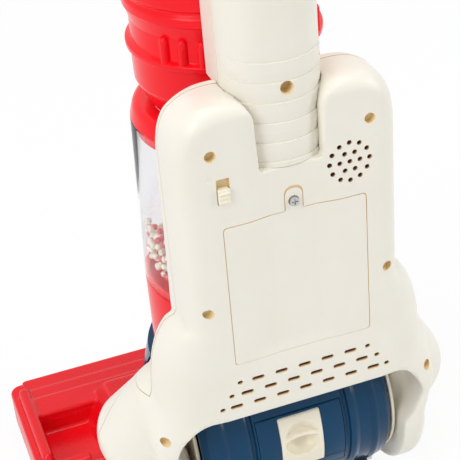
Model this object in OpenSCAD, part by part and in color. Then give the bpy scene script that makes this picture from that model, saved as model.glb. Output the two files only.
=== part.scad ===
// Toy upright vacuum cleaner: a clear bead bin and a red cyclone on a cream casing,
// hinged over a blue drum that carries a red floor head.
// Millimetres. +Z up, +Y forward (floor head), the person pushing stands on the -Y side.

/* [Casing] */
// Width of the upper casing
body_w = 137; // [131:1:141]
// Depth of the upper casing, back to front
body_d = 38; // [37:1:41]
// Height of the shoulder tops above the floor
shoulder_z = 320; // [318:1:330]
// Wall of the moulded shells
wall = 2.5; // [2.2:0.1:2.8]
// Radius of the upright rear corners
corner_r = 24; // [18:1:26]
// Radius of the shoulders' top edges
shoulder_r = 18; // [12:1:20]
// Height of the casing's edge over the drum
opening_z = 112; // [109:1:114]
// Height at which the flanks begin to flare
flare_z = 178; // [170:1:186]
// Depth of the valley down the back
valley_d = 1.8; // [1.2:0.1:2]
// Half width of the valley at the surface
valley_half = 28.5; // [24:0.5:30]

/* [Cheeks and hubs] */
// Radius of the cheeks beside the drum
cheek_r = 58; // [56:1:59]
// Distance of the cheeks' inner walls from the middle
cheek_in = 72; // [71:0.5:74]
// Distance of the cheeks' outer faces from the middle
cheek_out = 97; // [95:1:100]
// Radius of the round hubs on the cheeks
hub_r = 37; // [33:1:40]
// How far the hubs stand out of the cheeks
hub_h = 22; // [18:1:24]
// Radius of the pivot stubs
pivot_r = 8; // [7:0.5:9]

/* [Battery bay] */
// Width of the battery cover
cover_w = 86; // [84:1:88]
// Height of the cover's lower edge
cover_low = 155; // [154:1:157]
// Height of the cover's upper edge
cover_top = 250; // [247:1:251]
// Gap around the cover
cover_gap = 0.4; // [0.3:0.1:0.6]
// Width of the cover's screw tab
tab_w = 10.4; // [9.4:0.2:12]
// Height of the screw in the tab
tab_z = 256; // [255:0.5:257]
// Diameter of a cell
cell_d = 26.2; // [25.2:0.1:26.2]

/* [Stem and handle] */
// Radius of the stem's round back
stem_r = 29; // [27:0.5:29]
// Height of the stem's lower end
stem_low = 279; // [277:1:281]
// Height of the top of the stem
stem_top = 420; // [410:1:440]
// Spacing of the stem's ribs
rib_pitch = 12; // [11:0.5:13]
// Number of ribs
rib_count = 6; // [4:1:6]
// Half width of the slot between the shoulders
slot_half = 18.5; // [16:0.5:20]
// Height of the handle's top
handle_top = 690; // [670:1:720]
// Radius of the handle's grip
grip_r = 12; // [10.5:0.5:13]
// Length of the handle's loop inside the grip's middle line
loop_len = 126; // [110:1:140]
// Depth of the handle's loop inside the grip's middle line
loop_deep = 66; // [62:1:76]

/* [Bin and cyclone] */
// Radius of the clear bin at its foot
bin_r = 65.2; // [64:0.2:66]
// Radius of the clear bin at its top
bin_r_top = 62; // [61:0.2:63]
// Height of the clear bin's foot
bin_low = 156; // [150:1:160]
// Height of the clear bin's top
bin_top = 270; // [260:1:270]
// Height of the red base's lower edge
base_low = 96; // [94:1:98]
// Radius of the cyclone's ring
ring_r = 59; // [57:0.5:59]
// Height of the cyclone's ring
ring_z = 319; // [316:1:324]
// Diameter of a bead
bead_d = 4.4; // [4:0.1:4.5]

/* [Drum] */
// Radius of the drum
drum_r = 53; // [52:0.5:53.5]
// Half length of the drum
drum_half = 62; // [60:0.5:63]
// Height of the drum's axis, which is the hinge
axis_z = 62; // [61:0.5:63]
// Distance of the drum's axis ahead of the casing's back
drum_y = 65; // [63:0.5:66]
// Half width of the drawer
drawer_half = 29; // [27:0.5:30]
// Half width of the grip in the drawer
pinch_half = 14.4; // [13:0.2:15]
// How far the drawer slides out
drawer_travel = 22; // [12:1:22]
// Radius of the rear rollers
roller_r = 12; // [11:0.5:12.5]

/* [Floor head] */
// Width of the floor head
head_w = 294; // [286:2:300]
// Sideways place of the head's middle, from the casing's middle
head_x = -12; // [-14:1:-6]
// Front of the floor head, ahead of the casing's back
head_front = 200; // [196:1:206]
// Back of the floor head, ahead of the casing's back
head_back = 100; // [98:1:102]
// Height of the head's outer rim
head_z = 30; // [29:0.5:32]
// Height of the raised middle hood
hood_z = 48; // [46:0.5:50]
// Half width of the raised middle hood
hood_half = 94; // [90:1:97]
// Radius of the head's small wheels
wheel_r = 7; // [6.6:0.1:7.2]

/* [Clearances] */
// Running clearance of shafts
run = 0.06; // [0.04:0.01:0.08]
// Space between pieces that pass each other
pass = 0.4; // [0.3:0.05:0.5]
// Space between fitted pieces of one body
fit = 0.1; // [0.05:0.05:0.15]

/* [Hidden] */
$fn = 64;
big = 400;
seam_y = body_d - 6;
cheek_seam_z = opening_z + 12;
bin_gap = 0.6;
bin_y = body_d + bin_gap + bin_r;
stem_y = stem_r + 2;
stem_front_y = stem_y + 25;
stem_screw_z = stem_low + 47.4;
yoke_half = body_w / 2 + 18.5;
yoke_z = flare_z - 24;
cheek_edge = 14;
drum_clear = drum_r + 1.6;
head_clear = cheek_r + 1.6;
screws_up = [[46.8, shoulder_z - 23], [56.5, 195]];
low_screw = [88.5, 100.7];
low_screw_y = 50;
screw_recess_r = 3.4;
screw_hole_r = 1.7;
screw_r = 1.5;
pilot_r = 1.55;
switch_x = -41;
switch_low = 266;
switch_high = 282;
speaker_p = [34, 273];
tray_y = wall + valley_d + 0.4 + cell_d + 0.5;
cell_z = (cover_low + cover_top) / 2 - 26;
handle_y = 22;
loop_y1 = 30;
loop_y0 = loop_y1 - loop_deep;
loop_z1 = handle_top - grip_r;
loop_z0 = loop_z1 - loop_len;
collar_h = 8;
tube_r = 17;
spigot_r = 14.4;
floor_z = bin_low - 2.5;
door_low = axis_z - 19;
door_top = axis_z + 27.5;
pinch_low = axis_z - 12;
pinch_top = axis_z + 26;
tray_front = drum_y - drum_r + 17;
sweep_r = drum_r + 2 + drawer_travel;
sweep_half = drawer_half + 1.5;
sweep_y = drum_y - 8;
roller_y = drum_y - 25;
fan_y = drum_y + 24;
duct_z = axis_z - 29;
duct_r = 10;
sole_z = 3;
sole_t = 3;
neck_half = 40;
neck_low = 14;
neck_top = hood_z - 6;
head_half = head_w / 2;
rim_x = head_half - 8.5;
pan_z = 18;
head_wheel_x = head_half - 23;
head_wheel_y = head_back + 16;
ridge_y = head_front - 48;
x_shift = -head_x;
y_shift = -(head_front + loop_y0 - grip_r) / 2;

// Shared shapes

module place() {
    translate([x_shift, y_shift, 0]) children();
}

module place_head() {
    place() translate([head_x, 0, 0]) children();
}

// takes a square corner off and leaves a round of radius r; sx and sy point out of the corner
module round_off(x, y, sx, sy, r) {
    translate([x - sx * r, y - sy * r])
        difference() {
            translate([sx > 0 ? 0 : -r - 1, sy > 0 ? 0 : -r - 1]) square(r + 1);
            circle(r);
        }
}

module rounded_box_2d(x0, x1, y0, y1, r) {
    difference() {
        translate([x0, y0]) square([x1 - x0, y1 - y0]);
        round_off(x0, y0, -1, -1, r);
        round_off(x1, y0, 1, -1, r);
        round_off(x0, y1, -1, 1, r);
        round_off(x1, y1, 1, 1, r);
    }
}

// turns a flat outline in x and z into a wall from y0 to y1
module wall_y(y0, y1) {
    translate([0, y1, 0]) rotate([90, 0, 0]) linear_extrude(y1 - y0) children();
}

// turns a flat outline in y and z into a bar from x0 to x1
module bar_x(x0, x1) {
    translate([x0, 0, 0]) rotate([90, 0, 90]) linear_extrude(x1 - x0) children();
}

// turns an outline of radius and distance around the drum's axis
module about_axis() {
    translate([0, drum_y, axis_z]) rotate([0, 90, 0]) rotate_extrude() children();
}

module rod_x(x0, x1, y, z, r) {
    translate([x0, y, z]) rotate([0, 90, 0]) cylinder(h = x1 - x0, r = r);
}

module rod_y(y0, y1, x, z, r) {
    translate([x, y0, z]) rotate([-90, 0, 0]) cylinder(h = y1 - y0, r = r);
}

module rod_z(z0, z1, x, y, r) {
    translate([x, y, z0]) cylinder(h = z1 - z0, r = r);
}

module block(x0, x1, y0, y1, z0, z1) {
    translate([x0, y0, z0]) cube([x1 - x0, y1 - y0, z1 - z0]);
}

module both_sides() {
    children();
    mirror([1, 0, 0]) children();
}

// Casing forms, i is the distance inside the outer skin

module body_plan(i, half) {
    x = half - i;
    difference() {
        translate([-x, i]) square([2 * x, body_d - 2 * i]);
        round_off(-x, i, -1, -1, corner_r - i);
        round_off(x, i, 1, -1, corner_r - i);
        round_off(-x, body_d - i, -1, 1, 5.5 - i);
        round_off(x, body_d - i, 1, 1, 5.5 - i);
    }
}

module body_form(i, z0) {
    x = body_w / 2 - i;
    top = shoulder_z - i;
    intersection() {
        translate([0, 0, z0]) linear_extrude(top - z0) body_plan(i, body_w / 2);
        bar_x(-x - 1, x + 1) difference() {
            translate([i, z0 - 1]) square([body_d - 2 * i, top - z0 + 1]);
            round_off(i, top, -1, 1, shoulder_r - i);
        }
        wall_y(0, body_d) difference() {
            translate([-x, z0 - 1]) square([2 * x, top - z0 + 1]);
            round_off(-x, top, -1, 1, shoulder_r - i);
            round_off(x, top, 1, 1, shoulder_r - i);
        }
    }
}

module cheek_form(i) {
    about_axis() difference() {
        translate([0, cheek_in - 4]) square([cheek_r - i, cheek_out - cheek_in + 4 - i]);
        round_off(cheek_r - i, cheek_out - i, 1, 1, cheek_edge - i);
    }
}

module yoke_form(i) {
    hull() {
        translate([0, 0, flare_z - i - 1]) linear_extrude(1) body_plan(1 + i, body_w / 2);
        translate([0, 0, yoke_z - i - 1]) linear_extrude(1) body_plan(1 + i, yoke_half);
        both_sides() cheek_form(i, $fn = 36);
    }
}

module hub_form(i) {
    both_sides() about_axis() difference() {
        translate([0, cheek_out - 12]) square([hub_r - i, hub_h + 12 - i]);
        round_off(hub_r - i, cheek_out + hub_h - i, 1, 1, 18 - i);
    }
}

module tunnel(i) {
    wall_y(-60, 200) difference() {
        translate([-cheek_in - i, -10]) square([2 * (cheek_in + i), opening_z + 10 + i]);
        round_off(-cheek_in - i, opening_z + i, -1, 1, 14 + i);
        round_off(cheek_in + i, opening_z + i, 1, 1, 14 + i);
    }
    rod_x(-cheek_in - i, cheek_in + i, drum_y, axis_z, drum_clear + i);
    drawer_sweep(i);
}

// Room that lets the casing lean back while the drawer is out
module drawer_sweep(i) {
    intersection() {
        rod_x(-sweep_half - i, sweep_half + i, drum_y, axis_z, sweep_r + i);
        block(-big, big, -big, sweep_y + i, axis_z, shoulder_z);
    }
}

module bin_room(i) {
    rod_z(40, shoulder_z + 60, 0, bin_y, bin_r + 0.3 + i);
}

module casing_skin() {
    body_form(0, opening_z);
    yoke_form(0);
    hub_form(0);
}

module casing_hollow() {
    difference() {
        union() {
            body_form(wall, opening_z - 2);
            yoke_form(wall);
            hub_form(wall);
        }
        tunnel(wall);
        bin_room(wall);
    }
}

module front_zone() {
    block(-big, big, drum_y, big, -10, big);
    block(-big, big, seam_y, big, cheek_seam_z, big);
}

module rear_zone() {
    block(-big, big, -big, seam_y, -10, big);
    block(-big, big, seam_y - 1, drum_y, -10, cheek_seam_z);
}

module bush_bores() {
    both_sides() rod_x(cheek_in - 6, cheek_in + wall + 0.2, drum_y, axis_z, 12 + fit);
}

module valley() {
    hull() {
        translate([0, 0, cover_low + 12]) linear_extrude(stem_low - cover_low - 11) polygon([
            [-valley_half, -0.2], [-valley_half / 2, valley_d],
            [valley_half / 2, valley_d], [valley_half, -0.2]]);
        translate([0, 0, cover_low - 10]) linear_extrude(1) polygon([
            [-valley_half * 0.8, -0.4], [0, -0.2], [valley_half * 0.8, -0.4]]);
    }
}

module cover_outline(g) {
    x = cover_w / 2 + g;
    rounded_box_2d(-x, x, cover_low - g, cover_top + g, 2.5 + g);
    translate([-tab_w / 2 - g, cover_top - 2]) square([tab_w + 2 * g, tab_z - cover_top + 5]);
    translate([0, tab_z + 3]) circle(tab_w / 2 + g);
}

module slot_2d(x, z, w, h) {
    translate([x - w / 2 + h / 2, z - h / 2]) square([w - h, h]);
    translate([x - w / 2 + h / 2, z]) circle(h / 2, $fn = 24);
    translate([x + w / 2 - h / 2, z]) circle(h / 2, $fn = 24);
}

module vent_outlines() {
    for (k = [-2:2]) slot_2d(15 * k, 140, 7.8, 2.4);
    for (k = [-2.5:2.5]) slot_2d(15 * k, 131.8, 7.8, 2.4);
    for (k = [-3:3]) slot_2d(15 * k, 123.6, 7.8, 2.4);
    for (s = [-1, 1]) {
        slot_2d(s * 41.5, 140, 3, 2.4);
        slot_2d(s * 47.5, 131.8, 3, 2.4);
        slot_2d(s * 54, 123.6, 3, 2.4);
    }
}

module speaker_outlines() {
    translate(speaker_p) {
        circle(1.2, $fn = 20);
        for (k = [0:5]) rotate(k * 60) translate([6.1, 0]) circle(1.2, $fn = 20);
        for (k = [0:11]) rotate(k * 30) translate([12, 0]) circle(1.2, $fn = 20);
    }
}

module stem_plan(i) {
    difference() {
        union() {
            translate([0, stem_y]) circle(stem_r - i);
            translate([-stem_r + i, stem_y]) square([2 * (stem_r - i), stem_front_y - stem_y - i]);
        }
        translate([0, bin_y]) circle(ring_r + 0.8 + i);
    }
}

module stem_room() {
    h = shoulder_z - stem_low + 20;
    r = stem_r + 1;
    translate([0, 0, stem_low - 0.3]) linear_extrude(h) {
        translate([0, stem_y]) circle(r);
        translate([-r, stem_y]) square([2 * r, body_d]);
        translate([-slot_half, -10]) square([2 * slot_half, stem_y]);
    }
    wall_y(-2, 11) both_sides() difference() {
        translate([slot_half - 1, shoulder_z - 16]) square([17, 18]);
        translate([slot_half + 16, shoulder_z - 16]) circle(16);
    }
}

// Casing pieces

module rear_casing() {
    color([0.96, 0.95, 0.91])
    difference() {
        union() {
            difference() {
                casing_skin();
                casing_hollow();
            }
            block(-30, 30, wall - 0.5, wall + valley_d, cover_top + 3, stem_low);
            block(-30, 30, wall - 0.5, wall + valley_d, cover_low - 14, cover_low - 3);
            both_sides() {
                for (p = screws_up) rod_y(1.5, 22, p[0], p[1], 5.5);
                rod_y(24, drum_y, low_screw[0], low_screw[1], 5.5);
                block(cheek_in + 1, low_screw[0], 40, drum_y, low_screw[1] - 1.5, low_screw[1] + 1.5);
            }
            rod_y(1.5, 7, speaker_p[0], speaker_p[1], 16);
        }
        tunnel(0);
        bin_room(0);
        front_zone();
        stem_room();
        valley();
        wall_y(-1, wall + valley_d + 1) cover_outline(cover_gap);
        wall_y(-1, 8) vent_outlines();
        wall_y(-1, wall + 1) speaker_outlines();
        rod_y(wall, 9, speaker_p[0], speaker_p[1], 14);
        wall_y(-1, 8) rounded_box_2d(switch_x - 3.9, switch_x + 3.9, switch_low, switch_high, 1);
        both_sides() {
            for (p = screws_up) {
                rod_y(-1, 12, p[0], p[1], screw_recess_r);
                rod_y(11, 30, p[0], p[1], screw_hole_r);
            }
            rod_y(-1, low_screw_y, low_screw[0], low_screw[1], screw_recess_r);
            rod_y(low_screw_y - 1, drum_y + 2, low_screw[0], low_screw[1], screw_hole_r);
        }
        bush_bores();
    }
}

module front_casing() {
    color([0.95, 0.94, 0.90])
    difference() {
        union() {
            difference() {
                casing_skin();
                casing_hollow();
            }
            both_sides() {
                for (p = screws_up) rod_y(22, body_d - 1.5, p[0], p[1], 4.5);
                rod_y(drum_y, drum_y + 20, low_screw[0], low_screw[1], 5);
                block(cheek_in + 1, low_screw[0], drum_y, drum_y + 20, low_screw[1] - 1.5, low_screw[1] + 1.5);
            }
            rod_y(14.6, body_d - 1.5, -58, 262, 3);
        }
        tunnel(0);
        bin_room(0);
        difference() {
            rear_zone();
            for (s = [-1, 1]) for (p = screws_up) rod_y(22, seam_y + 1, s * p[0], p[1], 4.5);
            rod_y(14.6, seam_y + 1, -58, 262, 3);
        }
        both_sides() {
            for (p = screws_up) rod_y(20, 33, p[0], p[1], pilot_r);
            rod_y(drum_y - 1, drum_y + 15, low_screw[0], low_screw[1], pilot_r);
        }
        bush_bores();
    }
}

module one_screw(x, z, y, len) {
    difference() {
        rod_y(y - 2.2, y, x, z, 2.8);
        block(x - 1.8, x + 1.8, y - 3, y - 1.2, z - 0.4, z + 0.4);
        block(x - 0.4, x + 0.4, y - 3, y - 1.2, z - 1.8, z + 1.8);
    }
    rod_y(y - 0.1, y + len, x, z, screw_r);
}

module casing_screws() {
    color([0.7, 0.7, 0.72]) both_sides() {
        for (p = screws_up) one_screw(p[0], p[1], 12, 19);
        one_screw(low_screw[0], low_screw[1], low_screw_y, 28);
    }
}

module battery_cover() {
    color([0.96, 0.95, 0.91])
    difference() {
        union() {
            wall_y(0, wall) cover_outline(0);
            block(-valley_half - 1, valley_half + 1, wall - 0.5, wall + valley_d, cover_low + 3, cover_top - 3);
        }
        valley();
        rod_y(-1, wall + 3, 0, tab_z, screw_hole_r);
        rod_y(-1, valley_d + 0.6, 0, tab_z, 2.9);
    }
}

module cover_screw() {
    color([0.7, 0.7, 0.72]) one_screw(0, tab_z, valley_d + 0.6, 8);
}

module battery_tray() {
    x = cover_w / 2 + 2;
    w = 1.6;
    color([0.9, 0.89, 0.84])
    difference() {
        union() {
            block(-x, x, wall, tray_y + w, cover_low - 2, cover_top + 2);
            rod_y(wall + valley_d, 16, 0, tab_z, 4.5);
        }
        difference() {
            block(-x + 3.3, x - 3.3, wall - 1, tray_y, cover_low + 1.3, cover_top - 1.3);
            block(-x, x, wall + valley_d + 1, tray_y, cell_z - 3.2, cell_z - 0.8);
            block(-x, x, wall + valley_d + 1, tray_y, cell_z + 52.5, cell_z + 54.9);
        }
        rod_y(0, 13, 0, tab_z, pilot_r);
    }
}

module battery_cells() {
    color([0.2, 0.3, 0.35])
    for (k = [-1:1]) translate([k * (cell_d + 0.4), wall + valley_d + 0.4 + cell_d / 2, cell_z]) {
        cylinder(h = 48.5, d = cell_d);
        translate([0, 0, 48.4]) cylinder(h = 1.6, r = 3);
    }
}

module battery_contacts() {
    color([0.8, 0.8, 0.82])
    for (k = [-1:1]) translate([k * (cell_d + 0.4), wall + valley_d + 0.4 + cell_d / 2, cell_z]) {
        translate([-7, -7, -0.8]) cube([14, 14, 0.8]);
        translate([-7, -7, 50]) cube([14, 14, 2.5]);
    }
}

module switch_knob() {
    z = switch_low + 0.6;
    color([0.93, 0.91, 0.85]) {
        block(switch_x - 3.4, switch_x + 3.4, -1.6, wall + 1, z, z + 9);
        for (k = [0:2]) rod_x(switch_x - 3.2, switch_x + 3.2, -1.7, z + 2 + 2.5 * k, 0.8);
        block(switch_x - 5.4, switch_x + 5.4, wall + pass, wall + 1.6, z - 1.5, z + 10.5);
        block(switch_x - 1, switch_x + 1, wall + 1.2, wall + 4.5, z + 3, z + 6);
    }
}

module switch_module() {
    z = switch_low + 0.6;
    color([0.12, 0.12, 0.13])
    difference() {
        block(switch_x - 7, switch_x + 7, wall + 2.4, 13, switch_low - 4, switch_high + 5);
        block(switch_x - 1.5, switch_x + 1.5, 0, wall + 5.5, z + 2, z + 13);
    }
}

module circuit_board() {
    color([0.1, 0.35, 0.18]) block(switch_x - 21, switch_x + 8, 13, 14.6, 256, switch_high + 7);
}

module speaker() {
    color([0.15, 0.15, 0.16]) {
        rod_y(wall + fit, wall + 5, speaker_p[0], speaker_p[1], 13.9);
        rod_y(wall + 4, wall + 11, speaker_p[0], speaker_p[1], 8);
    }
}

module hub_bush(s) {
    color([0.92, 0.9, 0.84])
    scale_side(s) difference() {
        union() {
            rod_x(cheek_in - 1.5, cheek_in + wall + 5, drum_y, axis_z, 12);
            rod_x(cheek_in + wall + fit, cheek_in + wall + 5, drum_y, axis_z, 16);
        }
        rod_x(cheek_in - 5, cheek_in + wall + 9, drum_y, axis_z, pivot_r + run);
    }
}

module scale_side(s) {
    if (s > 0) {
        children();
    } else {
        mirror([1, 0, 0]) children();
    }
}

module hub_bush_left() {
    hub_bush(-1);
}

module hub_bush_right() {
    hub_bush(1);
}

// Stem and handle

module stem_shell() {
    translate([0, 0, stem_low]) linear_extrude(stem_top - stem_low) difference() {
        stem_plan(0);
        stem_plan(wall);
    }
}

module stem_rear() {
    color([0.96, 0.95, 0.91])
    difference() {
        union() {
            stem_shell();
            translate([0, 0, stem_low]) linear_extrude(wall) stem_plan(0.5);
            translate([0, stem_y, stem_low + 3]) rotate_extrude() for (k = [0:rib_count - 1]) polygon([
                [stem_r - 1, k * rib_pitch], [stem_r + 0.4, k * rib_pitch + 0.5],
                [stem_r + 0.3, k * rib_pitch + 4], [stem_r - 1, k * rib_pitch + rib_pitch - 0.5]]);
            rod_y(4, stem_y, 0, stem_screw_z, 5.5);
        }
        block(-big, big, stem_y, big, 0, 2 * big);
        rod_y(-1, 14, 0, stem_screw_z, screw_recess_r);
        rod_y(13, stem_y + 1, 0, stem_screw_z, screw_hole_r);
    }
}

module stem_front() {
    color([0.95, 0.94, 0.90])
    difference() {
        union() {
            difference() {
                stem_shell();
                block(-big, big, -big, stem_y, 0, 2 * big);
            }
            rod_y(stem_y, stem_y + 11, 0, stem_screw_z, 4.5);
        }
        block(-big, big, -big, big, 0, shoulder_z + 0.3);
        rod_y(stem_y - 1, stem_y + 9, 0, stem_screw_z, pilot_r);
    }
}

module stem_screw() {
    color([0.7, 0.7, 0.72]) one_screw(0, stem_screw_z, 14, 25);
}

module stem_collar() {
    color([0.05, 0.22, 0.4]) {
        translate([0, 0, stem_top]) linear_extrude(collar_h) stem_plan(0);
        rod_z(stem_top + collar_h - 1, stem_top + 36, 0, handle_y, spigot_r);
    }
}

module handle_path(r) {
    rod_z(stem_top + collar_h, loop_z0, 0, handle_y, r + tube_r - grip_r);
    translate([0, handle_y, loop_z0]) sphere(r + tube_r - grip_r);
    rod_y(loop_y0 + 30, loop_y1 - 30, 0, loop_z0, r);
    rod_y(loop_y0 + 30, loop_y1 - 30, 0, loop_z1, r);
    rod_z(loop_z0 + 30, loop_z1 - 30, 0, loop_y0, r);
    rod_z(loop_z0 + 30, loop_z1 - 30, 0, loop_y1, r);
    for (c = [[loop_y1 - 30, loop_z1 - 30, 0], [loop_y0 + 30, loop_z1 - 30, 90],
              [loop_y0 + 30, loop_z0 + 30, 180], [loop_y1 - 30, loop_z0 + 30, 270]])
        translate([0, c[0], c[1]]) rotate([90, 0, 90]) rotate([0, 0, c[2]])
            rotate_extrude(angle = 90) translate([30, 0]) circle(r);
}

module handle_half(s) {
    difference() {
        union() {
            difference() {
                handle_path(grip_r);
                handle_path(grip_r - wall);
            }
            rod_x(-tube_r + 1, tube_r - 1, handle_y, loop_z0 - 45, 5);
            rod_x(-grip_r + 1, grip_r - 1, loop_y0, (loop_z0 + loop_z1) / 2, 4.5);
        }
        block(s > 0 ? -big : 0, s > 0 ? 0 : big, -big, big, 0, 2 * big);
        rod_x(-tube_r - 1, -8, handle_y, loop_z0 - 45, screw_recess_r);
        rod_x(-9, 0, handle_y, loop_z0 - 45, screw_hole_r);
        rod_x(0, 9, handle_y, loop_z0 - 45, pilot_r);
        rod_x(-tube_r - 1, -6, loop_y0, (loop_z0 + loop_z1) / 2, 3);
        rod_x(-7, 0, loop_y0, (loop_z0 + loop_z1) / 2, screw_hole_r);
        rod_x(0, 8, loop_y0, (loop_z0 + loop_z1) / 2, pilot_r);
    }
}

module handle_left() {
    color([0.96, 0.95, 0.91]) handle_half(-1);
}

module handle_right() {
    color([0.95, 0.94, 0.90]) handle_half(1);
}

module handle_screws() {
    color([0.7, 0.7, 0.72]) {
        rod_x(-10, -8, handle_y, loop_z0 - 45, 2.8);
        rod_x(-8.1, 7, handle_y, loop_z0 - 45, screw_r);
        rod_x(-8, -6, loop_y0, (loop_z0 + loop_z1) / 2, 2.7);
        rod_x(-6.1, 6, loop_y0, (loop_z0 + loop_z1) / 2, screw_r);
    }
}

// Bin and cyclone

module turned() {
    translate([0, bin_y, 0]) rotate_extrude() children();
}

module clear_bin() {
    color([0.85, 0.85, 0.87, 0.35]) turned() polygon([
        [bin_r - 2, bin_low], [bin_r, bin_low], [bin_r_top, bin_top], [bin_r_top - 2, bin_top]]);
}

module bin_base() {
    color([0.85, 0.08, 0.1])
    difference() {
        turned() {
            translate([bin_r - wall, base_low]) square([wall, bin_low - base_low]);
            translate([3, floor_z - 2.5]) square([bin_r - 4, 2.5]);
            translate([bin_r - 4.8, floor_z - 1]) square([2.4, 7.5]);
        }
        rod_x(-big, big, drum_y, axis_z, drum_clear);
        drawer_sweep(0);
    }
}

module bead_motor() {
    color([0.6, 0.6, 0.62])
    difference() {
        rod_z(floor_z - 27.5, floor_z - 2.5, 0, bin_y, 12);
        rod_z(floor_z - 13, floor_z, 0, bin_y, 1 + run);
    }
}

module bead_fan() {
    color([0.93, 0.92, 0.88]) {
        rod_z(floor_z - 12, floor_z + 3, 0, bin_y, 1);
        rod_z(floor_z + 1.5, floor_z + 13, 0, bin_y, 7);
        for (k = [0:4]) translate([0, bin_y, floor_z + 1.5]) rotate([0, 0, k * 72])
            translate([5, -0.8, 0]) cube([33, 1.6, 8]);
    }
}

// beads lie in rings on the floor, layer over layer, on the side away from the right shoulder
module bead_ring(first, step) {
    for (layer = [0:2]) for (ring = [0:1]) for (k = [first:step:15])
        rotate([0, 0, 130 + k * 8]) translate([bin_r - 7.4 - ring * (bead_d + 0.3), 0,
            floor_z + bead_d / 2 + 0.05 + layer * (bead_d + 0.1)]) sphere(bead_d / 2, $fn = 24);
}

module beads_cream() {
    color([0.95, 0.93, 0.85]) translate([0, bin_y, 0]) {
        bead_ring(0, 3);
        bead_ring(1, 3);
    }
}

module beads_pink() {
    color([0.9, 0.35, 0.4]) translate([0, bin_y, 0]) bead_ring(2, 3);
}

module cyclone_lid() {
    color([0.85, 0.08, 0.1]) turned() {
        difference() {
            translate([40, bin_top]) square([bin_r_top - 40, 11]);
            round_off(bin_r_top, bin_top + 11, 1, 1, 8);
            translate([30, bin_top - 1]) square([bin_r_top - 37, 9.5]);
        }
        translate([bin_r_top - 7, bin_top - 8]) square([4.7, 9]);
    }
}

module cyclone_body() {
    z = bin_top + 11;
    color([0.85, 0.08, 0.1]) {
        turned() polygon([
            [45, z], [48, z], [ring_r - 3, z + 17], [ring_r - 3.5, ring_z], [ring_r, ring_z],
            [ring_r, ring_z + 5], [ring_r - 3.5, ring_z + 6], [ring_r - 3.5, ring_z + 18],
            [ring_r - 1, ring_z + 27], [ring_r, ring_z + 37], [ring_r, ring_z + 52],
            [ring_r - 2.5, ring_z + 52], [ring_r - 3.5, ring_z + 27], [ring_r - 6, ring_z + 18],
            [ring_r - 6, z + 18]]);
        for (k = [-4.5:4.5]) translate([0, bin_y, 0]) rotate([0, 0, k * 12.3])
            translate([0, -ring_r + 3.8, 0]) {
                translate([0, 0, ring_z + 5.5]) cylinder(h = 11, r = 2.6, $fn = 24);
                translate([0, 0, ring_z + 16.5]) sphere(2.6, $fn = 24);
            }
    }
}

module cyclone_cap() {
    z = ring_z + 52;
    color([0.82, 0.07, 0.09]) turned() difference() {
        translate([0, z]) square([ring_r, 30]);
        round_off(ring_r, z + 30, 1, 1, 26);
        difference() {
            translate([-1, z - 1]) square([ring_r - 1.5, 28.5]);
            round_off(ring_r - 2.5, z + 27.5, 1, 1, 23.5);
        }
    }
}

module bin_apron() {
    r0 = bin_r + 4.8;
    color([0.05, 0.22, 0.4])
    difference() {
        turned() polygon([
            [bin_r - 12, base_low - 3], [r0 - 3, base_low - 3], [r0 + 5, base_low - 32],
            [r0 + 8, base_low - 32], [r0, base_low], [bin_r - 12, base_low]]);
        rod_x(-big, big, drum_y, axis_z, drum_clear);
        both_sides() rod_x(cheek_in - pass, big, drum_y, axis_z, cheek_r + 0.5);
    }
}

// Drum and drawer

module drum_skin(i) {
    r = drum_r - i;
    polygon([
        [0, -drum_half], [r - 7, -drum_half], [r - 2, -drum_half + 5], [r, -drum_half + 12],
        [r, -drawer_half - 4], [r - 1.6, -drawer_half - 3.4], [r - 1.6, -drawer_half - 1.4],
        [r, -drawer_half - 0.8], [r, drawer_half + 0.8], [r - 1.6, drawer_half + 1.4],
        [r - 1.6, drawer_half + 3.4], [r, drawer_half + 4], [r, drum_half - 12],
        [r - 2, drum_half - 5], [r - 7, drum_half], [0, drum_half]]);
}

module drum_shell() {
    color([0.05, 0.22, 0.4])
    difference() {
        union() {
            about_axis() difference() {
                drum_skin(0);
                difference() {
                    translate([-1, -drum_half - 1]) square([drum_r - 3.5, 2 * drum_half + 2]);
                    for (s = [-1, 1]) translate([drum_r - 11, s * (drum_half - 4) - 5]) square([9, 10]);
                }
            }
            block(-drawer_half + 2, drawer_half - 2, drum_y - drum_r + 4, drum_y, door_low - 2.6, door_low - pass);
            both_sides() {
                block(35, 38, roller_y - 5, roller_y + 5, 7, 26);
                block(54.5, 57.5, roller_y - 5, roller_y + 5, 7, 26);
            }
        }
        block(-drawer_half - pass, drawer_half + pass, -10, drum_y - 20, door_low - pass, door_top + pass);
        both_sides() {
            rod_x(38, 54.5, roller_y, roller_r, roller_r + 1.5);
        }
        rod_x(-60, 60, roller_y, roller_r, 2 + fit);
        rod_y(drum_y + 20, drum_y + drum_r + 5, 0, duct_z, duct_r);
    }
}

module drum_end(s) {
    color([0.93, 0.91, 0.85])
    scale_side(s) {
        rod_x(drum_half, drum_half + 3, drum_y, axis_z, drum_r - 6);
        rod_x(drum_half + 2, cheek_in + wall + 6, drum_y, axis_z, pivot_r);
        rod_x(drum_half - 5, drum_half + 1, drum_y, axis_z, drum_r - 11.2);
    }
}

module drum_end_left() {
    drum_end(-1);
}

module drum_end_right() {
    drum_end(1);
}

module drum_bulkhead() {
    color([0.2, 0.2, 0.22])
    difference() {
        rod_x(6, 8.5, drum_y, axis_z, drum_r - 4.6);
        block(-big, big, -big, drum_y + 3, -10, big);
        rod_x(0, 20, fan_y, axis_z, 2.5);
    }
}

module suction_motor() {
    color([0.6, 0.6, 0.62])
    difference() {
        rod_x(-22, 6, fan_y, axis_z, 12);
        rod_x(-6, 10, fan_y, axis_z, 1 + run);
    }
}

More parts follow.
